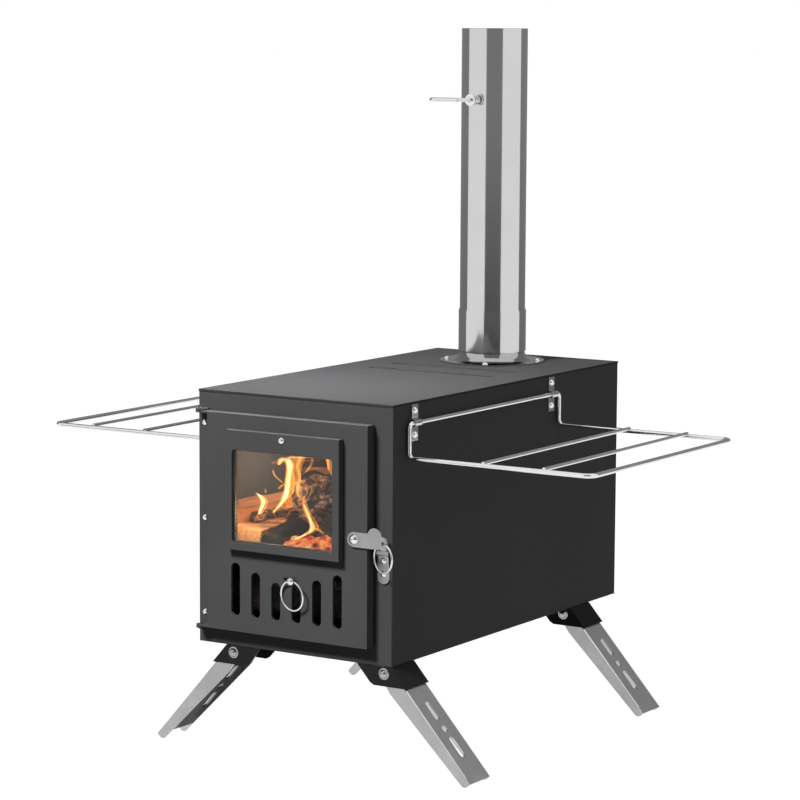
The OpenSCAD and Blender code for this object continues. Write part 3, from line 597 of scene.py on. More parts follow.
def anywhere(_: bmesh.types.BMEdge) -> bool:
    """Accepts every corner."""
    return True


def longer_than(length_mm: float) -> EdgeTest:
    """Accepts corners longer than this."""
    return lambda e: e.calc_length() > length_mm * MM


def on_face(axis: Axis, value: float, slack_mm: float = 0.05) -> EdgeTest:
    """Accepts corners that lie in one plane across an axis."""
    return lambda e: all(abs(v.co[axis] - value) < slack_mm * MM for v in e.verts)


def both(one: EdgeTest, two: EdgeTest) -> EdgeTest:
    """Accepts corners that pass two tests."""
    return lambda e: one(e) and two(e)


@dataclass
class Workshop:
    """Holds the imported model, the finishes and the tools that turn solids into finished pieces.

    Attributes:
        frame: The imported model.
        made: The materials built so far, by name.
        origin: Where stove millimetres are measured from.
    """

    frame: dict = field(default_factory=dict)
    made: dict[str, bpy.types.Material] = field(default_factory=dict)
    origin: Vector = field(default_factory=Vector)

    def open(self) -> None:
        """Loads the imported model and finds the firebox's lower front edge."""
        self.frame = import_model()
        low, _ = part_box("front_frame")
        self.origin = Vector((0.0, low.y, low.z))

    def at(self, x: float, y: float, z: float) -> Vector:
        """Turns a place in stove millimetres into the shared frame."""
        return self.origin + Vector((x, y, z)) * MM

    def material_of(self, finish: Finish) -> bpy.types.Material:
        """Builds a finish once, and gives the same material after that."""
        if finish.name not in self.made:
            self.made[finish.name] = finish.build()
        return self.made[finish.name]

    def copy_of(self, node: str) -> bmesh.types.BMesh:
        """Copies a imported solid, with its loose triangles merged into faces.

        Args:
            node: The solid's name.

        Returns:
            The merged copy.
        """
        copy = bmesh.new()
        copy.from_mesh(self.frame["nodes"][node].data)
        bmesh.ops.remove_doubles(copy, verts=copy.verts, dist=MERGE_WITHIN)
        bmesh.ops.dissolve_limit(copy, angle_limit=FLAT_WITHIN, verts=copy.verts, edges=copy.edges)
        return copy

    def soften(self, copy: bmesh.types.BMesh, width_mm: float, where: EdgeTest,
               segments: int = 2, clamp: bool = True) -> None:
        """Rounds the outward corners of a solid.

        Args:
            copy: The merged solid.
            width_mm: Width of the rounding.
            where: Says which of the corners are rounded.
            segments: Faces across the rounding.
            clamp: Whether the rounding narrows where short edges meet it.
        """
        corners = [e for e in copy.edges
                   if len(e.link_faces) == 2 and e.calc_face_angle_signed() > CORNER_FROM and where(e)]
        bmesh.ops.bevel(copy, geom=corners, offset=width_mm * MM, offset_type="OFFSET",
                        segments=segments, profile=0.5, affect="EDGES", clamp_overlap=clamp,
                        material=-1)

    def piece(self, mesh_in: bmesh.types.BMesh, name: str, finish: Finish,
              crease: float = CREASE_FROM) -> bpy.types.Object:
        """Makes an object of a finished mesh.

        Args:
            mesh_in: The mesh, which is used up.
            name: The object's name.
            finish: Its finish.
            crease: Corners sharper than this stay creased.

        Returns:
            The object.
        """
        mesh = bpy.data.meshes.new(name)
        mesh_in.to_mesh(mesh)
        mesh_in.free()
        mesh.materials.append(self.material_of(finish))
        mesh.shade_smooth()
        mesh.set_sharp_from_angle(angle=crease)
        made = bpy.data.objects.new(name, mesh)
        bpy.context.scene.collection.objects.link(made)
        weighted = made.modifiers.new("even_shading", "WEIGHTED_NORMAL")
        weighted.keep_sharp = True
        return made

    def stand_for(self, node: str, copy: bmesh.types.BMesh, slot: Slot,
                  finish: Finish | None = None) -> bpy.types.Object:
        """Puts a finished copy in the place of its solid.

        Args:
            node: The solid.
            copy: The finished copy.
            slot: The record's material slot.
            finish: The finish, where it isn't the slot's own.

        Returns:
            The piece.
        """
        made = self.piece(copy, f"finished_{node}", finish or FINISHES[slot])
        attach(made, self.frame["nodes"][node]["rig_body"])
        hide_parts(node)
        log.info("%s stands for %s: %d faces", made.name, node, len(made.data.polygons))
        return made

    def plain(self, slot: Slot, *nodes: str) -> None:
        """Finishes solids whose shape is right as it is: merged, smooth where they are round."""
        for node in nodes:
            self.stand_for(node, self.copy_of(node), slot)

    def rounded(self, node: str, slot: Slot, width_mm: float, where: EdgeTest = anywhere,
                segments: int = 2, finish: Finish | None = None) -> None:
        """Finishes a solid whose corners are rounded.

        Args:
            node: The solid.
            slot: The record's material slot.
            width_mm: Width of the rounding.
            where: Says which of the corners are rounded.
            segments: Faces across the rounding.
            finish: The finish, where it isn't the slot's own.
        """
        copy = self.copy_of(node)
        self.soften(copy, width_mm, where, segments)
        self.stand_for(node, copy, slot, finish)


@dataclass
class Firebox:
    """The folded body, its cooktop, front and back sheets, and what stands inside.

    Attributes:
        bend_mm: Rounding of the sheets' folds.
        lip_mm: Rounding of the cooktop's rim and of its grooves' shoulders.
        edge_mm: Rounding of the plates inside.
        fold_from_mm: The body's folds are longer than this.
        frame_from_mm: The front sheet's outer folds and its opening's edges are longer than this.
        plate_from_mm: The long edges of the plates inside are longer than this.
        coat: Finish of the cooktop: the body's coat made darker, painted shade against the stronger light
            from above.
    """

    shop: Workshop
    bend_mm: float = 1.4
    lip_mm: float = 0.9
    edge_mm: float = 0.35
    fold_from_mm: float = 200.0
    frame_from_mm: float = 100.0
    plate_from_mm: float = 60.0
    # Painted shade: the cooktop's tone is set below the body's, to dim the light that falls on the top.
    coat: PowderCoat = PowderCoat("coat_cooktop_painted_shade", (0.031, 0.031, 0.032), 0.60, 0.04)

    def build(self) -> None:
        """Builds the firebox's pieces."""
        shop = self.shop
        underside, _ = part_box("body_shell")
        folds = both(on_face(Axis.UP, underside.z), longer_than(self.fold_from_mm))
        shop.rounded("body_shell", Slot.BLACK, self.bend_mm, folds, 3)
        near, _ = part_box("front_frame")
        edges = both(on_face(Axis.DEEP, near.y), longer_than(self.frame_from_mm))
        shop.rounded("front_frame", Slot.BLACK, self.bend_mm, edges, 3)
        _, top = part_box("cooktop")
        shop.rounded("cooktop", Slot.GREY, self.lip_mm, on_face(Axis.UP, top.z), 3, self.coat)
        _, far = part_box("back_panel")
        shop.rounded("back_panel", Slot.BLACK, self.bend_mm, on_face(Axis.DEEP, far.y), 3)
        for node in ("smoke_baffle", "fire_grate"):
            shop.rounded(node, Slot.FIRE, self.edge_mm, longer_than(self.plate_from_mm))


@dataclass
class Chimney:
    """The collar on the cooktop, the pipe and its damper."""

    shop: Workshop
    collar: RolledSteel = RolledSteel("steel_collar", grey(0.42), 0.07, spread=0.02)

    def build(self) -> None:
        """Builds the chimney's pieces."""
        shop = self.shop
        shop.plain(Slot.FLUE, "chimney_pipe", "damper_plate")
        shop.stand_for("flue_collar", shop.copy_of("flue_collar"), Slot.FLUE, self.collar)
        shop.plain(Slot.BRIGHT, "flue_screws", "damper_rod", "damper_spring", "damper_washer")


@dataclass
class Door:
    """The glazed door with its seal, its hinge and its latch.

    Attributes:
        face_mm: Where the pan's face lies, in stove millimetres.
        fold_mm: Rounding of the pan's folds.
        fold_from_mm: The pan's folds are longer than this.
        frame_mm: Rounding of the raised window frame.
        rope_mm: Rounding of the seal, which makes a rope of it.
        tape_mm: Rounding of the gasket, which makes a tape of it.
        air_mm: Air between the glass and the gasket, so that light reaches the tape.
        strip_mm: Rounding of the hinge strip.
        lever_mm: Rounding of the latch's lever and keeper.
        tape: Finish of the gasket, a darker tone than the rope's.
    """

    shop: Workshop
    face_mm: float = -11.5
    fold_mm: float = 0.9
    fold_from_mm: float = 100.0
    frame_mm: float = 0.7
    rope_mm: float = 2.4
    tape_mm: float = 0.5
    air_mm: float = 0.08
    strip_mm: float = 0.25
    lever_mm: float = 0.3
    tape: BraidedRope = BraidedRope("tape_darkened", (0.15, 0.132, 0.115))

    def build(self) -> None:
        """Builds the door's pieces."""
        shop = self.shop
        face = shop.at(0.0, self.face_mm, 0.0).y
        folds = both(on_face(Axis.DEEP, face), longer_than(self.fold_from_mm))
        shop.rounded("door_panel", Slot.GREY, self.fold_mm, folds, 3)
        near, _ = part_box("window_frame")
        shop.rounded("window_frame", Slot.GREY, self.frame_mm, on_face(Axis.DEEP, near.y), 3)
        shop.plain(Slot.GLASS, "window_glass")
        shop.rounded("door_seal", Slot.ROPE, self.rope_mm, segments=4)
        self._gasket()
        shop.rounded("hinge_strip", Slot.BLACK, self.strip_mm)
        shop.plain(Slot.BLACK, "hinge_pins")
        shop.plain(Slot.BRIGHT, "hinge_rivets")
        for node in ("latch_lever", "latch_keeper"):
            shop.rounded(node, Slot.ZINC, self.lever_mm)
        shop.plain(Slot.BRIGHT, "latch_rivet", "latch_ring", "keeper_rivets", "window_screw")
        shop.plain(Slot.BLACK, "shutter_rails")

    def _gasket(self) -> None:
        """Rounds the gasket into tape, and sets its face a little behind the glass."""
        shop = self.shop
        near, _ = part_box("window_gasket")
        tape = shop.copy_of("window_gasket")
        shop.soften(tape, self.tape_mm, anywhere)
        for vert in tape.verts:
            vert.co.y = max(vert.co.y, near.y + self.air_mm * MM)
        shop.stand_for("window_gasket", tape, Slot.ROPE, self.tape)


@dataclass
class AirControl:
    """The slotted shutter behind the door, with its knob and ring."""

    shop: Workshop

    def build(self) -> None:
        """Builds the air control's pieces."""
        self.shop.plain(Slot.BLACK, "air_shutter")
        self.shop.plain(Slot.BRIGHT, "air_knob", "air_ring")


@dataclass
class SideRack:
    """One folding wire rack with its straps and screws."""

    shop: Workshop
    side: str
    strap_mm: float = 0.25
    polished: RolledSteel = RolledSteel("steel_polished", grey(0.60), 0.07, spread=0.02)

    def build(self) -> None:
        """Builds the rack's pieces."""
        shop = self.shop
        shop.plain(Slot.BRIGHT, f"rack_{self.side}", f"strap_screws_{self.side}")
        shop.rounded(f"straps_{self.side}", Slot.BRIGHT, self.strap_mm, finish=self.polished)


class LegZone(IntEnum):
    """The parts of a leg's surface, each by the number of its material."""

    OUTSIDE = 0
    WEB_INSIDE = 1
    FLANGE_INSIDE = 2
    OUTER_FOLD = 3


@dataclass
class Leg:
    """One folding leg in its bracket, on its bolt.

    Attributes:
        place: Which of the four legs it is.
        fold_mm: Rounding of the channel's two long folds.
        fold_from_mm: The folds are longer than this.
        sheet_mm: Thickness of the channel's sheet.
        bracket_mm: Rounding of the bracket.
        square: A face turned further than this to the front or back belongs to a flange.
        tilted: A face turned further than this inwards belongs to the web's inside.
        turned: A face turned further than this to the front or back belongs to a fold.
        coat: Finish of the bracket.
        bolt: Finish of the bolt.
        painted_shade: Finish of the web's inside: a dark tone, painted shade inside the channel.
        drawn: Finish of the flanges' inside.
        painted_highlight: Finish of the outer folds: a light tone, a painted highlight along them.
    """

    shop: Workshop
    place: str
    fold_mm: float = 1.0
    fold_from_mm: float = 105.0
    sheet_mm: float = 1.5
    bracket_mm: float = 0.4
    square: float = 0.99
    tilted: float = 0.5
    turned: float = 0.1
    coat: PowderCoat = PowderCoat("coat_bracket", (0.013, 0.013, 0.0135), 0.60, 0.06)
    bolt: RolledSteel = RolledSteel("steel_bolt", grey(0.40), 0.24)
    # Painted shade: the web's inside is given a dark tone for the shade inside the channel.
    painted_shade: RolledSteel = RolledSteel("steel_painted_shade", (0.045, 0.045, 0.044), 0.36)
    drawn: RolledSteel = RolledSteel("steel_drawn", (0.50, 0.50, 0.495), 0.06, spread=0.02, marks=0.01)
    # Painted highlight: the outer folds are given a light tone for the light line along the bend.
    painted_highlight: RolledSteel = RolledSteel("steel_painted_highlight", (0.88, 0.88, 0.87), 0.30)

    def _zone(self, face: bmesh.types.BMFace) -> LegZone:
        """Tells which part of the leg's surface a face belongs to.

        Args:
            face: The face.

        Returns:
            Its zone.
        """
        low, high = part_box(f"leg_{self.place}")
        depth = face.calc_center_median().y - (low.y + high.y) / 2
        rim = (high.y - low.y) / 2 - self.sheet_mm * MM
        if abs(face.normal.y) > self.square:
            return LegZone.FLANGE_INSIDE if face.normal.y * depth < 0 else LegZone.OUTSIDE
        inward = -1 if self.place.endswith("right") else 1
        if face.normal.x * inward > self.tilted and abs(depth) < rim:
            return LegZone.WEB_INSIDE
        if abs(face.normal.y) > self.turned and abs(depth) > rim:
            return LegZone.OUTER_FOLD
        return LegZone.OUTSIDE

    def _channel(self) -> None:
        """Rounds the channel's folds, and gives each of its zones a finish."""
        shop = self.shop
        channel = shop.copy_of(f"leg_{self.place}")
        shop.soften(channel, self.fold_mm, longer_than(self.fold_from_mm), 3, clamp=False)
        for face in channel.faces:
            face.material_index = self._zone(face)
        dressed = shop.stand_for(f"leg_{self.place}", channel, Slot.ZINC)
        # The web's inside gets painted shade, the outer folds a painted highlight, the flanges' inside a
        # polish.
        zones = {LegZone.WEB_INSIDE: self.painted_shade, LegZone.FLANGE_INSIDE: self.drawn,
                 LegZone.OUTER_FOLD: self.painted_highlight}
        for zone in sorted(zones):
            dressed.data.materials.append(shop.material_of(zones[zone]))

    def build(self) -> None:
        """Builds the leg's pieces."""
        self._channel()
        shop = self.shop
        shop.rounded(f"bracket_{self.place}", Slot.BLACK, self.bracket_mm, finish=self.coat)
        shop.stand_for(f"bolt_{self.place}", shop.copy_of(f"bolt_{self.place}"), Slot.BRIGHT, self.bolt)


@dataclass(frozen=True)
class Firewood:
    """A piece of firewood that runs between two places, in stove millimetres.

    Attributes:
        name: The piece's name.
        foot: Its near end.
        head: Its far end.
        half_mm: Half its thickness.
        finish: Its wood or bark.
    """

    name: str
    foot: Triple
    head: Triple
    half_mm: float
    finish: Finish

    def shape(self, length: float, dice: random.Random) -> bmesh.types.BMesh:
        """Shapes the piece upright, about its own middle.

        Args:
            length: Its length.
            dice: Gives the bark its place in the noise.

        Returns:
            The mesh.
        """
        raise NotImplementedError


@dataclass(frozen=True)
class RoundLog(Firewood):
    """A round log with a cracked, ridged bark.

    Attributes:
        taper: Radius of its far end, as a share of its near end's.
        sides: Faces round it.
        rings: Cuts along it.
        ridge_mm: Height of its ridges.
        ridge_scale: Scale of their noise.
        bump_mm: Height of the bumps on them.
        bump_scale: Scale of their noise.
        drift: How far apart in the noise two logs may be.
    """

    taper: float = 0.9
    sides: int = 28
    rings: int = 26
    ridge_mm: float = 4.2
    ridge_scale: Triple = (60.0, 60.0, 16.0)
    bump_mm: float = 2.2
    bump_scale: Triple = (190.0, 190.0, 60.0)
    drift: float = 9.0

    def shape(self, length: float, dice: random.Random) -> bmesh.types.BMesh:
        """Shapes the log from a cone, and roughens its bark.

        Args:
            length: Its length.
            dice: Gives the bark its place in the noise.

        Returns:
            The mesh.
        """
        radius = self.half_mm * MM
        wood = bmesh.new()
        bmesh.ops.create_cone(wood, cap_ends=True, segments=self.sides, radius1=radius,
                              radius2=radius * self.taper, depth=length)
        staves = [e for e in wood.edges if abs(e.verts[0].co.z - e.verts[1].co.z) > length / 2]
        bmesh.ops.subdivide_edges(wood, edges=staves, cuts=self.rings, use_grid_fill=True)
        shift = Vector((dice.random(), dice.random(), dice.random())) * self.drift
        for vert in wood.verts:
            spot = vert.co + shift
            ridge = noise.noise(spot * Vector(self.ridge_scale))
            bump = noise.noise(spot * Vector(self.bump_scale))
            out = Vector((vert.co.x, vert.co.y, 0.0)).normalized()
            vert.co += out * (ridge * self.ridge_mm + bump * self.bump_mm) * MM
        bmesh.ops.recalc_face_normals(wood, faces=wood.faces)
        return wood


@dataclass(frozen=True)
class SawnBeam(Firewood):
    """A square beam with slightly wavy sides.

    Attributes:
        cuts: Cuts along each of its edges.
        turn: How far it lies turned about its length.
        wave_mm: Height of its waves.
        wave_scale: Scale of their noise.
        apart: Distance in the noise between its two ways of waving.
    """

    cuts: int = 9
    turn: float = math.radians(8)
    wave_mm: float = 1.6
    wave_scale: float = 38.0
    apart: Triple = (7.0, 0.0, 0.0)

    def shape(self, length: float, dice: random.Random) -> bmesh.types.BMesh:
        """Shapes the beam from a cube, and waves its sides.

        Args:
            length: Its length.
            dice: Unused, because its waves follow the noise as it stands.

        Returns:
            The mesh.
        """
        thickness = 2 * self.half_mm * MM
        wood = bmesh.new()
        bmesh.ops.create_cube(wood, size=1.0)
        bmesh.ops.scale(wood, vec=Vector((thickness, thickness, length)), verts=wood.verts)
        bmesh.ops.subdivide_edges(wood, edges=wood.edges, cuts=self.cuts, use_grid_fill=True)
        for vert in wood.verts:
            spot = vert.co * self.wave_scale
            wave = Vector((noise.noise(spot), noise.noise(spot + Vector(self.apart)), 0.0))
            vert.co += wave * self.wave_mm * MM
        bmesh.ops.transform(wood, matrix=Matrix.Rotation(self.turn, 4, "Z"), verts=wood.verts)
        return wood


@dataclass(frozen=True)
class FireLamp:
    """A small lamp inside the firebox, at a place in stove millimetres, warm unless it has a tint."""

    name: str
    spot: Triple
    watts: float
    tint: Triple = (1.0, 0.62, 0.32)
    radius: float = 0.012


@dataclass(frozen=True)
class Tongue:
    """A tongue of flame, as it shows on the window from the front right, in millimetres.

    Attributes:
        depth: How far back it burns.
        path: How far across and up it passes, from foot to tip.
        halves: Half its width at each of these points.
    """

    depth: float
    path: Sequence[Pair]
    halves: Sequence[float]


# The path of the tall middle flame, which a sheet and a core follow.
CURL: Sequence[Pair] = (
    (-13, 119), (-9, 123), (-3, 129), (0, 135), (2, 142), (3, 149), (4, 155), (5, 160), (3, 165),
    (-1, 167), (-5, 166), (-7, 161))


@dataclass
class Fire:
    """Split logs, embers and flames on the grate, as they show through the glass.

    Attributes:
        glass_mm: Where the glass lies, in stove millimetres.
        aside: How far a place shows to the right for each millimetre that it is back.
        above: How far it shows up for each millimetre that it is back.
        heap_mm: Half the embers' width, depth and height.
        heap_spot: Where the embers show: across, up, and how far back.
        lump_mm: Height of their lumps.
        lump_scale: Scale of the lumps' noise.
        crumb_mm: Height of their crumbs.
        crumb_scale: Scale of the crumbs' noise.
        cold_mm: Height up to which they are dark.
        hot_mm: Height from which they are brightest.
        foot_mm: Height of the flames' foot.
        tip_mm: Height of the flames' tip.
        facing: Angle that the flames' broad sides face.
        flatness: Depth of a flame, as a share of its width.
        flame_sides: Faces round a flame.
        crease: Corners sharper than this stay creased.
        lamps: The lamps that light the firebox.
        haze: The wide faint sheets behind the flames.
        sheets: The flames themselves.
        rims: Their bright rims.
        cores: Their white-hot cores.
        dice: Gives each log its own bark.
    """

    shop: Workshop
    glass_mm: float = -15.0
    aside: float = 0.6335
    above: float = 0.1523
    heap_mm: Triple = (43, 22, 17)
    heap_spot: Triple = (29, 85, 30)
    lump_mm: float = 6.0
    lump_scale: float = 90.0
    crumb_mm: float = 2.0
    crumb_scale: float = 260.0
    cold_mm: float = 76.0
    hot_mm: float = 84.0
    foot_mm: float = 105.0
    tip_mm: float = 175.0
    facing: float = math.radians(32)
    flatness: float = 0.35
    flame_sides: int = 14
    crease: float = math.radians(50)
    lamps: tuple[FireLamp, ...] = (
        FireLamp("fire_lamp_high", (-26, 66, 160), 0.42),
        FireLamp("fire_lamp_right", (16, 84, 172), 0.14),
        FireLamp("fire_lamp_front", (-46, -4, 118), 0.09),
        FireLamp("fire_lamp_wall", (-52, 92, 158), 0.10, tint=(0.90, 0.95, 1.0)),
    )
    haze: tuple[Tongue, ...] = (
        Tongue(74, [(16, 156), (26, 161), (36, 161), (46, 159), (54, 157)], [4.0, 9.0, 11.0, 12.0, 12.0]),
        Tongue(48, [(-12, 161), (-4, 165), (8, 166), (20, 166), (30, 168)], [3.0, 8.0, 10.0, 9.0, 6.0]),
    )
    sheets: tuple[Tongue, ...] = (
        Tongue(45, CURL, [0.9, 2.0, 2.8, 3.3, 3.3, 3.0, 3.2, 4.0, 4.6, 3.8, 3.0, 1.0]),
        Tongue(46, [(3, 124), (5, 130), (6, 138), (7, 147), (8, 155), (9, 161), (10, 167), (14, 171)],
               [2.4, 5.0, 6.2, 7.4, 6.6, 6.3, 8.6, 6.0]),
        Tongue(47, [(-7, 161), (-4, 167), (6, 169), (18, 169), (29, 170), (40, 170), (51, 170)],
               [1.5, 4.4, 6.6, 6.3, 5.5, 4.8, 3.7]),
        Tongue(70, [(46, 171), (47, 164), (48, 158), (49, 152)], [5.5, 4.8, 3.3, 0.7]),
        Tongue(34, [(-31, 134), (-25, 133), (-21, 129), (-22, 125), (-25, 120), (-26, 117)],
               [1.5, 2.9, 3.3, 3.3, 2.9, 1.3]),
        Tongue(20, [(20, 137), (20, 130), (24, 122), (29, 116), (32, 110), (22, 104), (10, 99)],
               [0.7, 2.2, 2.8, 3.6, 4.6, 3.0, 1.0]),
    )
    rims: tuple[Tongue, ...] = (
        Tongue(43, [(16, 131), (12, 136), (12, 142), (15, 149), (14, 155), (12, 160), (13, 165),
                    (16, 170)],
               [0.4, 1.1, 1.1, 1.3, 1.2, 1.2, 1.8, 1.9]),
        Tongue(41, [(16, 154), (22, 158), (26, 163), (28, 167), (26, 172)], [0.4, 1.0, 1.1, 1.3, 0.7]),
        Tongue(40, [(-13, 156), (-12, 152), (-8, 149), (-3, 146)], [0.4, 1.0, 1.1, 0.9]),
        Tongue(40, [(-7, 140), (-5, 143), (-1, 145)], [1.0, 1.6, 0.9]),
        Tongue(44, [(8, 132), (7, 140), (9, 149), (7, 156)], [0.4, 1.0, 1.0, 0.7]),
        Tongue(45, [(10, 171), (21, 170), (32, 171), (42, 170), (51, 171)], [2.0, 1.8, 1.6, 1.4, 1.0]),
        Tongue(68, [(42, 171), (43, 165), (43, 160)], [1.0, 1.3, 0.5]),
        Tongue(67, [(47, 168), (48, 160), (49, 153)], [1.0, 1.6, 0.5]),
        Tongue(22, [(32, 111), (36, 109), (40, 107)], [2.2, 1.6, 0.5]),
        Tongue(44, [(-21, 139), (-21, 137), (-21, 135)], [0.4, 1.3, 0.4]),
        Tongue(34, [(-26, 117), (-22, 121), (-18, 119)], [1.0, 1.2, 0.5]),
    )
    cores: tuple[Tongue, ...] = (
        Tongue(44, CURL, [0.4, 0.9, 1.3, 1.7, 1.8, 1.5, 1.6, 2.2, 2.9, 2.4, 1.9, 0.5]),
        Tongue(33, [(-27, 117), (-25, 122), (-22, 127), (-23, 130), (-26, 133), (-30, 135)],
               [0.8, 1.3, 1.4, 1.6, 1.5, 0.5]),
        Tongue(19, [(20, 130), (24, 122), (28, 115), (30, 110), (24, 106), (17, 102), (9, 99)],
               [0.4, 0.8, 1.4, 2.3, 1.8, 1.0, 0.4]),
        Tongue(45, [(4, 168), (12, 168), (20, 169)], [2.6, 3.2, 0.8]),
    )
    dice: random.Random = field(default_factory=lambda: random.Random(SEED))

    def build(self) -> None:
        """Lays the fire and lights it."""
        for wood in self._wood():
            self._stack(wood)
        self._embers()
        self._flames()
        for lamp in self.lamps:
            self._hang(lamp)

    def _wood(self) -> tuple[Firewood, ...]:
        """Lists the firewood, in the order in which it is stacked."""
        charred = CharredBark("bark_charred", (0.05, 0.03, 0.02), 1.0, 0.0)
        sooty = CharredBark("bark_sooty", (0.16, 0.09, 0.05), 0.9, 0.25)
        flaked = CharredBark("bark_flaked", (0.62, 0.33, 0.18), 0.7, 0.5)
        rough = CharredBark("bark_rough", (0.42, 0.20, 0.09), 0.55, 0.7)
        sawn = SawnWood("wood_sawn", (0.62, 0.34, 0.15))
        split = SawnWood("wood_split", (0.42, 0.17, 0.07))
        return (
            RoundLog("low_front", (-86, 34, 43), (86, 32, 43), 20, charred),
            RoundLog("low_back", (-84, 150, 43), (84, 156, 43), 20, charred),
            SawnBeam("sawn", (-55, 8, 88), (-81, 104, 84), 13, sawn),
            SawnBeam("split", (-79, 4, 107), (-76, 146, 105), 10, split),
            RoundLog("side", (-29, 13, 89), (-46, 92, 96), 10, charred),
            RoundLog("strip", (-66, 34, 105), (-38, 98, 109), 6, rough),
            RoundLog("crumbled", (-62, 88, 108), (-50, 128, 124), 9, rough),
            RoundLog("leaning", (-12, 45, 129), (-14, 128, 80), 20, flaked),
            RoundLog("prop", (3, 58, 72), (-3, 62, 118), 12, sooty),
        )

    def _behind(self, across: float, up: float, depth: float) -> Triple:
        """Places a spot of the fire by where it shows on the window from the front right.

        Args:
            across: Where it shows, from the window's middle.
            up: Where it shows, from the firebox's underside.
            depth: How far back it is.

        Returns:
            The place, in stove millimetres.
        """
        back = depth - self.glass_mm
        return (across - self.aside * back, depth, up - self.above * back)

    def _lay(self, mesh_in: bmesh.types.BMesh, name: str, finish: Finish) -> bpy.types.Object:
        """Adds one piece of the fire, which the firebox carries."""
        made = self.shop.piece(mesh_in, name, finish, self.crease)
        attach(made, "firebox")
        log.info("%s laid: %d faces", name, len(made.data.polygons))
        return made

    def _stack(self, wood: Firewood) -> None:
        """Lays one piece of firewood from its foot to its head."""
        foot, head = self.shop.at(*wood.foot), self.shop.at(*wood.head)
        way = head - foot
        shape = wood.shape(way.length, self.dice)
        turn = way.to_track_quat("Z", "Y").to_matrix().to_4x4()
        place = Matrix.Translation((foot + head) / 2) @ turn
        bmesh.ops.transform(shape, matrix=place, verts=shape.verts)
        self._lay(shape, f"firewood_{wood.name}", wood.finish)

    def _embers(self) -> None:
        """Heaps the embers in front of the logs."""
        heap = bmesh.new()
        bmesh.ops.create_icosphere(heap, subdivisions=6, radius=1.0)
        bmesh.ops.scale(heap, vec=Vector(self.heap_mm) * MM, verts=heap.verts)
        for vert in heap.verts:
            lump = noise.noise(vert.co * self.lump_scale) * self.lump_mm
            vert.co += vert.co.normalized() * lump * MM
            crumb = noise.noise(vert.co * self.crumb_scale) * self.crumb_mm
            vert.co += vert.co.normalized() * crumb * MM
        bmesh.ops.translate(heap, vec=self.shop.at(*self._behind(*self.heap_spot)), verts=heap.verts)
        cold, hot = (self.shop.at(0.0, 0.0, up).z for up in (self.cold_mm, self.hot_mm))
        self._lay(heap, "fire_embers", GlowingEmbers("embers_glowing", cold, hot))

    def _draw(self, flame: bmesh.types.BMesh, tongue: Tongue) -> None:
        """Draws a tongue as a flattened tube along its path.

        Args:
            flame: The mesh that it is added to.
            tongue: The tongue.
        """
        across = Vector((math.cos(self.facing), math.sin(self.facing), 0.0))
        deep = Vector((-across.y, across.x, 0.0)) * self.flatness
        made = bmesh.ops.create_circle(flame, cap_ends=False, segments=self.flame_sides, radius=1.0)
        ring = list(made["verts"])
        edges = list(dict.fromkeys(e for v in ring for e in v.link_edges))
        for step, (spot, half) in enumerate(zip(tongue.path, tongue.halves)):
            if step:
                grown = bmesh.ops.extrude_edge_only(flame, edges=edges)["geom"]
                fresh = {g for g in grown if isinstance(g, bmesh.types.BMVert)}
                ring = [next(e.other_vert(v) for e in v.link_edges if e.other_vert(v) in fresh)
                        for v in ring]
                edges = [g for g in grown if isinstance(g, bmesh.types.BMEdge)
                         and g.verts[0] in fresh and g.verts[1] in fresh]
            centre = self.shop.at(*self._behind(*spot, tongue.depth))
            for i, vert in enumerate(ring):
                turn = math.tau * i / len(ring)
                vert.co = centre + (across * math.cos(turn) + deep * math.sin(turn)) * half * MM

    def _flames(self) -> None:
        """Draws the flames: wide faint sheets, their bright rims, and white-hot cores."""
        ends = [self.shop.at(0.0, 0.0, up).z for up in (self.foot_mm, self.tip_mm)]
        veils = (
            (FlameVeil("flame_haze", (1.0, 0.26, 0.06), (1.0, 0.26, 0.06), 0.17, *ends), self.haze),
            (FlameVeil("flame_sheet", (1.0, 0.28, 0.02), (1.0, 0.34, 0.04), 0.46, *ends), self.sheets),
            (FlameVeil("flame_rim", (1.0, 0.40, 0.04), (1.0, 0.46, 0.06), 0.46, *ends), self.rims),
            (FlameVeil("flame_core", (1.0, 0.78, 0.36), (1.0, 0.80, 0.40), 0.80, *ends), self.cores),
        )
        for veil, tongues in veils:
            flame = bmesh.new()
            for tongue in tongues:
                self._draw(flame, tongue)
            made = self._lay(flame, veil.name, veil)
            smooth = made.modifiers.new("licked", "SUBSURF")
            smooth.levels = smooth.render_levels = 2
            made.visible_shadow = False

    def _hang(self, lamp: FireLamp) -> None:
        """Hangs a lamp in the firebox, where only what it lights is seen."""
        data = bpy.data.lights.new(lamp.name, "POINT")
        data.energy = lamp.watts
        data.color = lamp.tint
        data.shadow_soft_size = lamp.radius
        made = bpy.data.objects.new(lamp.name, data)
        made.location = self.shop.at(*lamp.spot)
        made.visible_camera = made.visible_transmission = made.visible_glossy = False
        bpy.context.scene.collection.objects.link(made)


@dataclass(frozen=True)
class SoftLamp:
    """A soft lamp that faces the stove."""

    name: str
    spot: Triple
    size: Pair
    watts: float


@dataclass(frozen=True)
class Card:
    """A card bent round the stove, which only polished metal mirrors.

    Attributes:
        name: The card's name.
        middle: Azimuth of its middle, in degrees.
        half: Half its width, in degrees.
        top: Height of its upper edge.
        greys: Its brightness near the floor, and further up.
        radius: Its distance from the stove.
    """

    name: str
    middle: float
    half: float
    top: float
    greys: Pair
    radius: float = 1.8


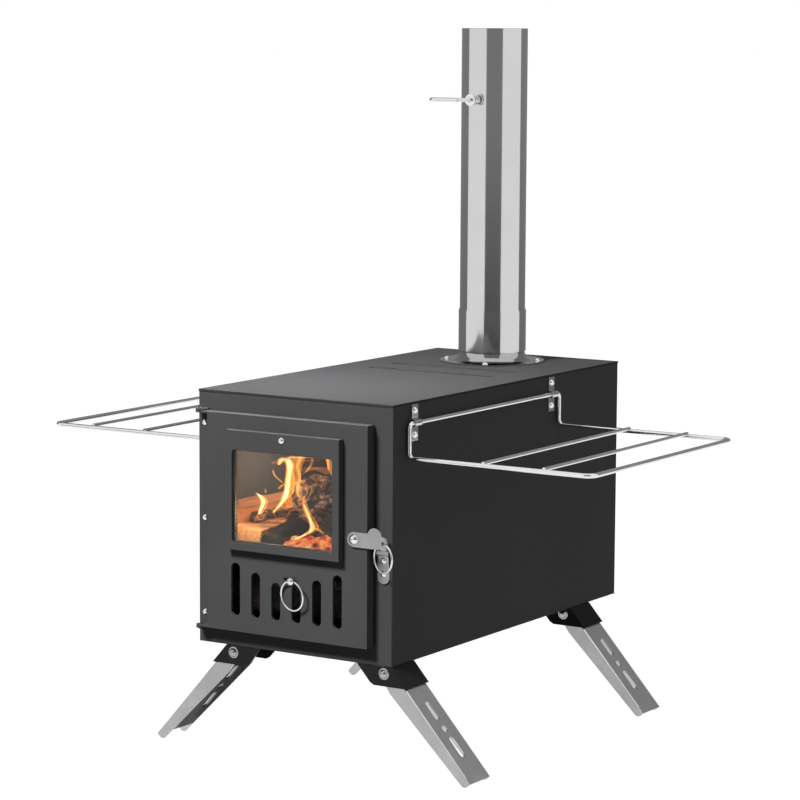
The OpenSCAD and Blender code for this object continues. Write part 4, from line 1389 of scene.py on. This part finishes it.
@dataclass
class Studio:
    """The floor, the lamps, the cards and the camera.

    Attributes:
        eye: Where the camera stands.
        azimuth: How far it is turned to the left, in degrees.
        elevation: How far it looks down, in degrees.
        roll: How far it leans, in degrees.
        lens_mm: Its focal length.
        sensor_mm: Width of its sensor.
        dim: Strength of the world's light on the stove.
        floor_size: Half the floor's width.
        aim: What the soft lamps face.
        lamps: The soft lamps.
        cards: The cards.
    """

    shop: Workshop
    eye: Triple = (1.3990, -2.22565, 0.62572)
    azimuth: float = 32.358
    elevation: float = 7.329
    roll: float = 0.312
    lens_mm: float = 134.955
    sensor_mm: float = 36.0
    dim: float = 0.05
    floor_size: float = 15.0
    aim: Triple = (0.0, 0.0, 0.2)
    lamps: tuple[SoftLamp, ...] = (
        SoftLamp("key", (-0.52, -2.10, 2.36), (0.7, 0.6), 180.0),
        SoftLamp("top", (-0.06, -0.145, 0.54), (0.16, 0.08), 2.9),
        SoftLamp("fill_left", (-2.4, 0.2, 0.8), (0.9, 0.9), 60.0),
        SoftLamp("fill_right", (3.0, -0.6, 1.6), (1.8, 1.6), 18.0),
        SoftLamp("fill_back", (0.8, 2.6, 1.6), (1.6, 1.2), 20.0),
    )
    cards: tuple[Card, ...] = (
        Card("front", middle=-57.6, half=30.0, top=2.4, greys=(0.08, 0.25)),
        Card("behind", middle=122.4, half=74.0, top=2.4, greys=(0.20, 0.26)),
        Card("window", middle=-122.4, half=16.0, top=0.18, greys=(0.02, 0.02), radius=1.0),
    )

    def build(self) -> None:
        """Sets the studio up."""
        self._camera()
        self._world()
        self._floor()
        for lamp in self.lamps:
            self._hang(lamp)
        for card in self.cards:
            self._bend(card)
        bpy.context.scene.view_settings.view_transform = "Standard"

    def _camera(self) -> None:
        """Stands the camera at the photograph's place."""
        az, el, roll = (math.radians(a) for a in (self.azimuth, self.elevation, self.roll))
        ahead = Vector((-math.sin(az) * math.cos(el), math.cos(az) * math.cos(el), -math.sin(el)))
        right = Vector((math.cos(az), math.sin(az), 0.0))
        above = right.cross(ahead)
        turned = math.cos(roll) * right + math.sin(roll) * above
        upward = math.cos(roll) * above - math.sin(roll) * right
        data = bpy.data.cameras.new("photographer")
        data.lens = self.lens_mm
        data.sensor_width = self.sensor_mm
        data.clip_end = 50.0
        camera = bpy.data.objects.new("photographer", data)
        turn = Matrix((turned, upward, -ahead)).transposed().to_4x4()
        camera.matrix_world = Matrix.Translation(Vector(self.eye)) @ turn
        bpy.context.scene.collection.objects.link(camera)
        bpy.context.scene.camera = camera

    def _world(self) -> None:
        """Fills the world with soft light, which is plain white where the camera looks."""
        world = bpy.data.worlds.new("studio")
        bpy.context.scene.world = world
        recipe = Recipe(world)
        level = recipe.span(recipe.seen(), 0.0, 1.0, self.dim, 1.0)
        sky = recipe.add("ShaderNodeBackground", {"Color": WHITE, "Strength": level}).outputs[0]
        recipe.end(sky, "ShaderNodeOutputWorld")

    def _floor(self) -> None:
        """Lays the pale floor."""
        ground = bmesh.new()
        bmesh.ops.create_grid(ground, x_segments=2, y_segments=2, size=self.floor_size)
        made = self.shop.piece(ground, "studio_floor", PaleFloor("floor_pale"))
        made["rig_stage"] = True

    def _hang(self, lamp: SoftLamp) -> None:
        """Hangs a soft lamp that faces the stove."""
        data = bpy.data.lights.new(lamp.name, "AREA")
        data.shape = "RECTANGLE"
        data.size, data.size_y = lamp.size
        data.energy = lamp.watts
        made = bpy.data.objects.new(lamp.name, data)
        made.location = Vector(lamp.spot)
        way = Vector(self.aim) - made.location
        made.rotation_euler = way.to_track_quat("-Z", "Y").to_euler()
        made.visible_camera = made.visible_glossy = False
        bpy.context.scene.collection.objects.link(made)

    def _bend(self, card: Card) -> None:
        """Bends a card round the stove, which only polished metal mirrors."""
        bent = bmesh.new()
        start = math.radians(card.middle - card.half)
        foot = Vector((math.cos(start), math.sin(start), 0.0)) * card.radius
        ends = [bent.verts.new(foot + Vector((0.0, 0.0, z))) for z in (0.0, card.top)]
        edge = bent.edges.new(ends)
        bmesh.ops.spin(bent, geom=[edge], cent=(0, 0, 0), axis=(0, 0, 1),
                       angle=math.radians(2 * card.half), steps=32)
        made = self.shop.piece(bent, f"studio_card_{card.name}", CardPaper(f"card_{card.name}", *card.greys))
        made.visible_camera = made.visible_diffuse = made.visible_shadow = False
        made.visible_transmission = False
        made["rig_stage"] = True


def corners() -> list[list[float]]:
    """Returns the whole object's box as plain numbers."""
    return [[float(c) for c in corner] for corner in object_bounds()]


def main() -> None:
    """Dresses the stove and sets the studio up."""
    logging.basicConfig(level=logging.INFO, format="%(name)s: %(message)s")
    shop = Workshop()
    shop.open()
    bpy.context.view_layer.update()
    Studio(shop).build()
    Firebox(shop).build()
    Chimney(shop).build()
    Door(shop).build()
    AirControl(shop).build()
    for side in ("right", "left"):
        SideRack(shop, side).build()
    for place in ("front_right", "front_left", "rear_right", "rear_left"):
        Leg(shop, place).build()
    Fire(shop).build()


if __name__ == "__main__":
    main()
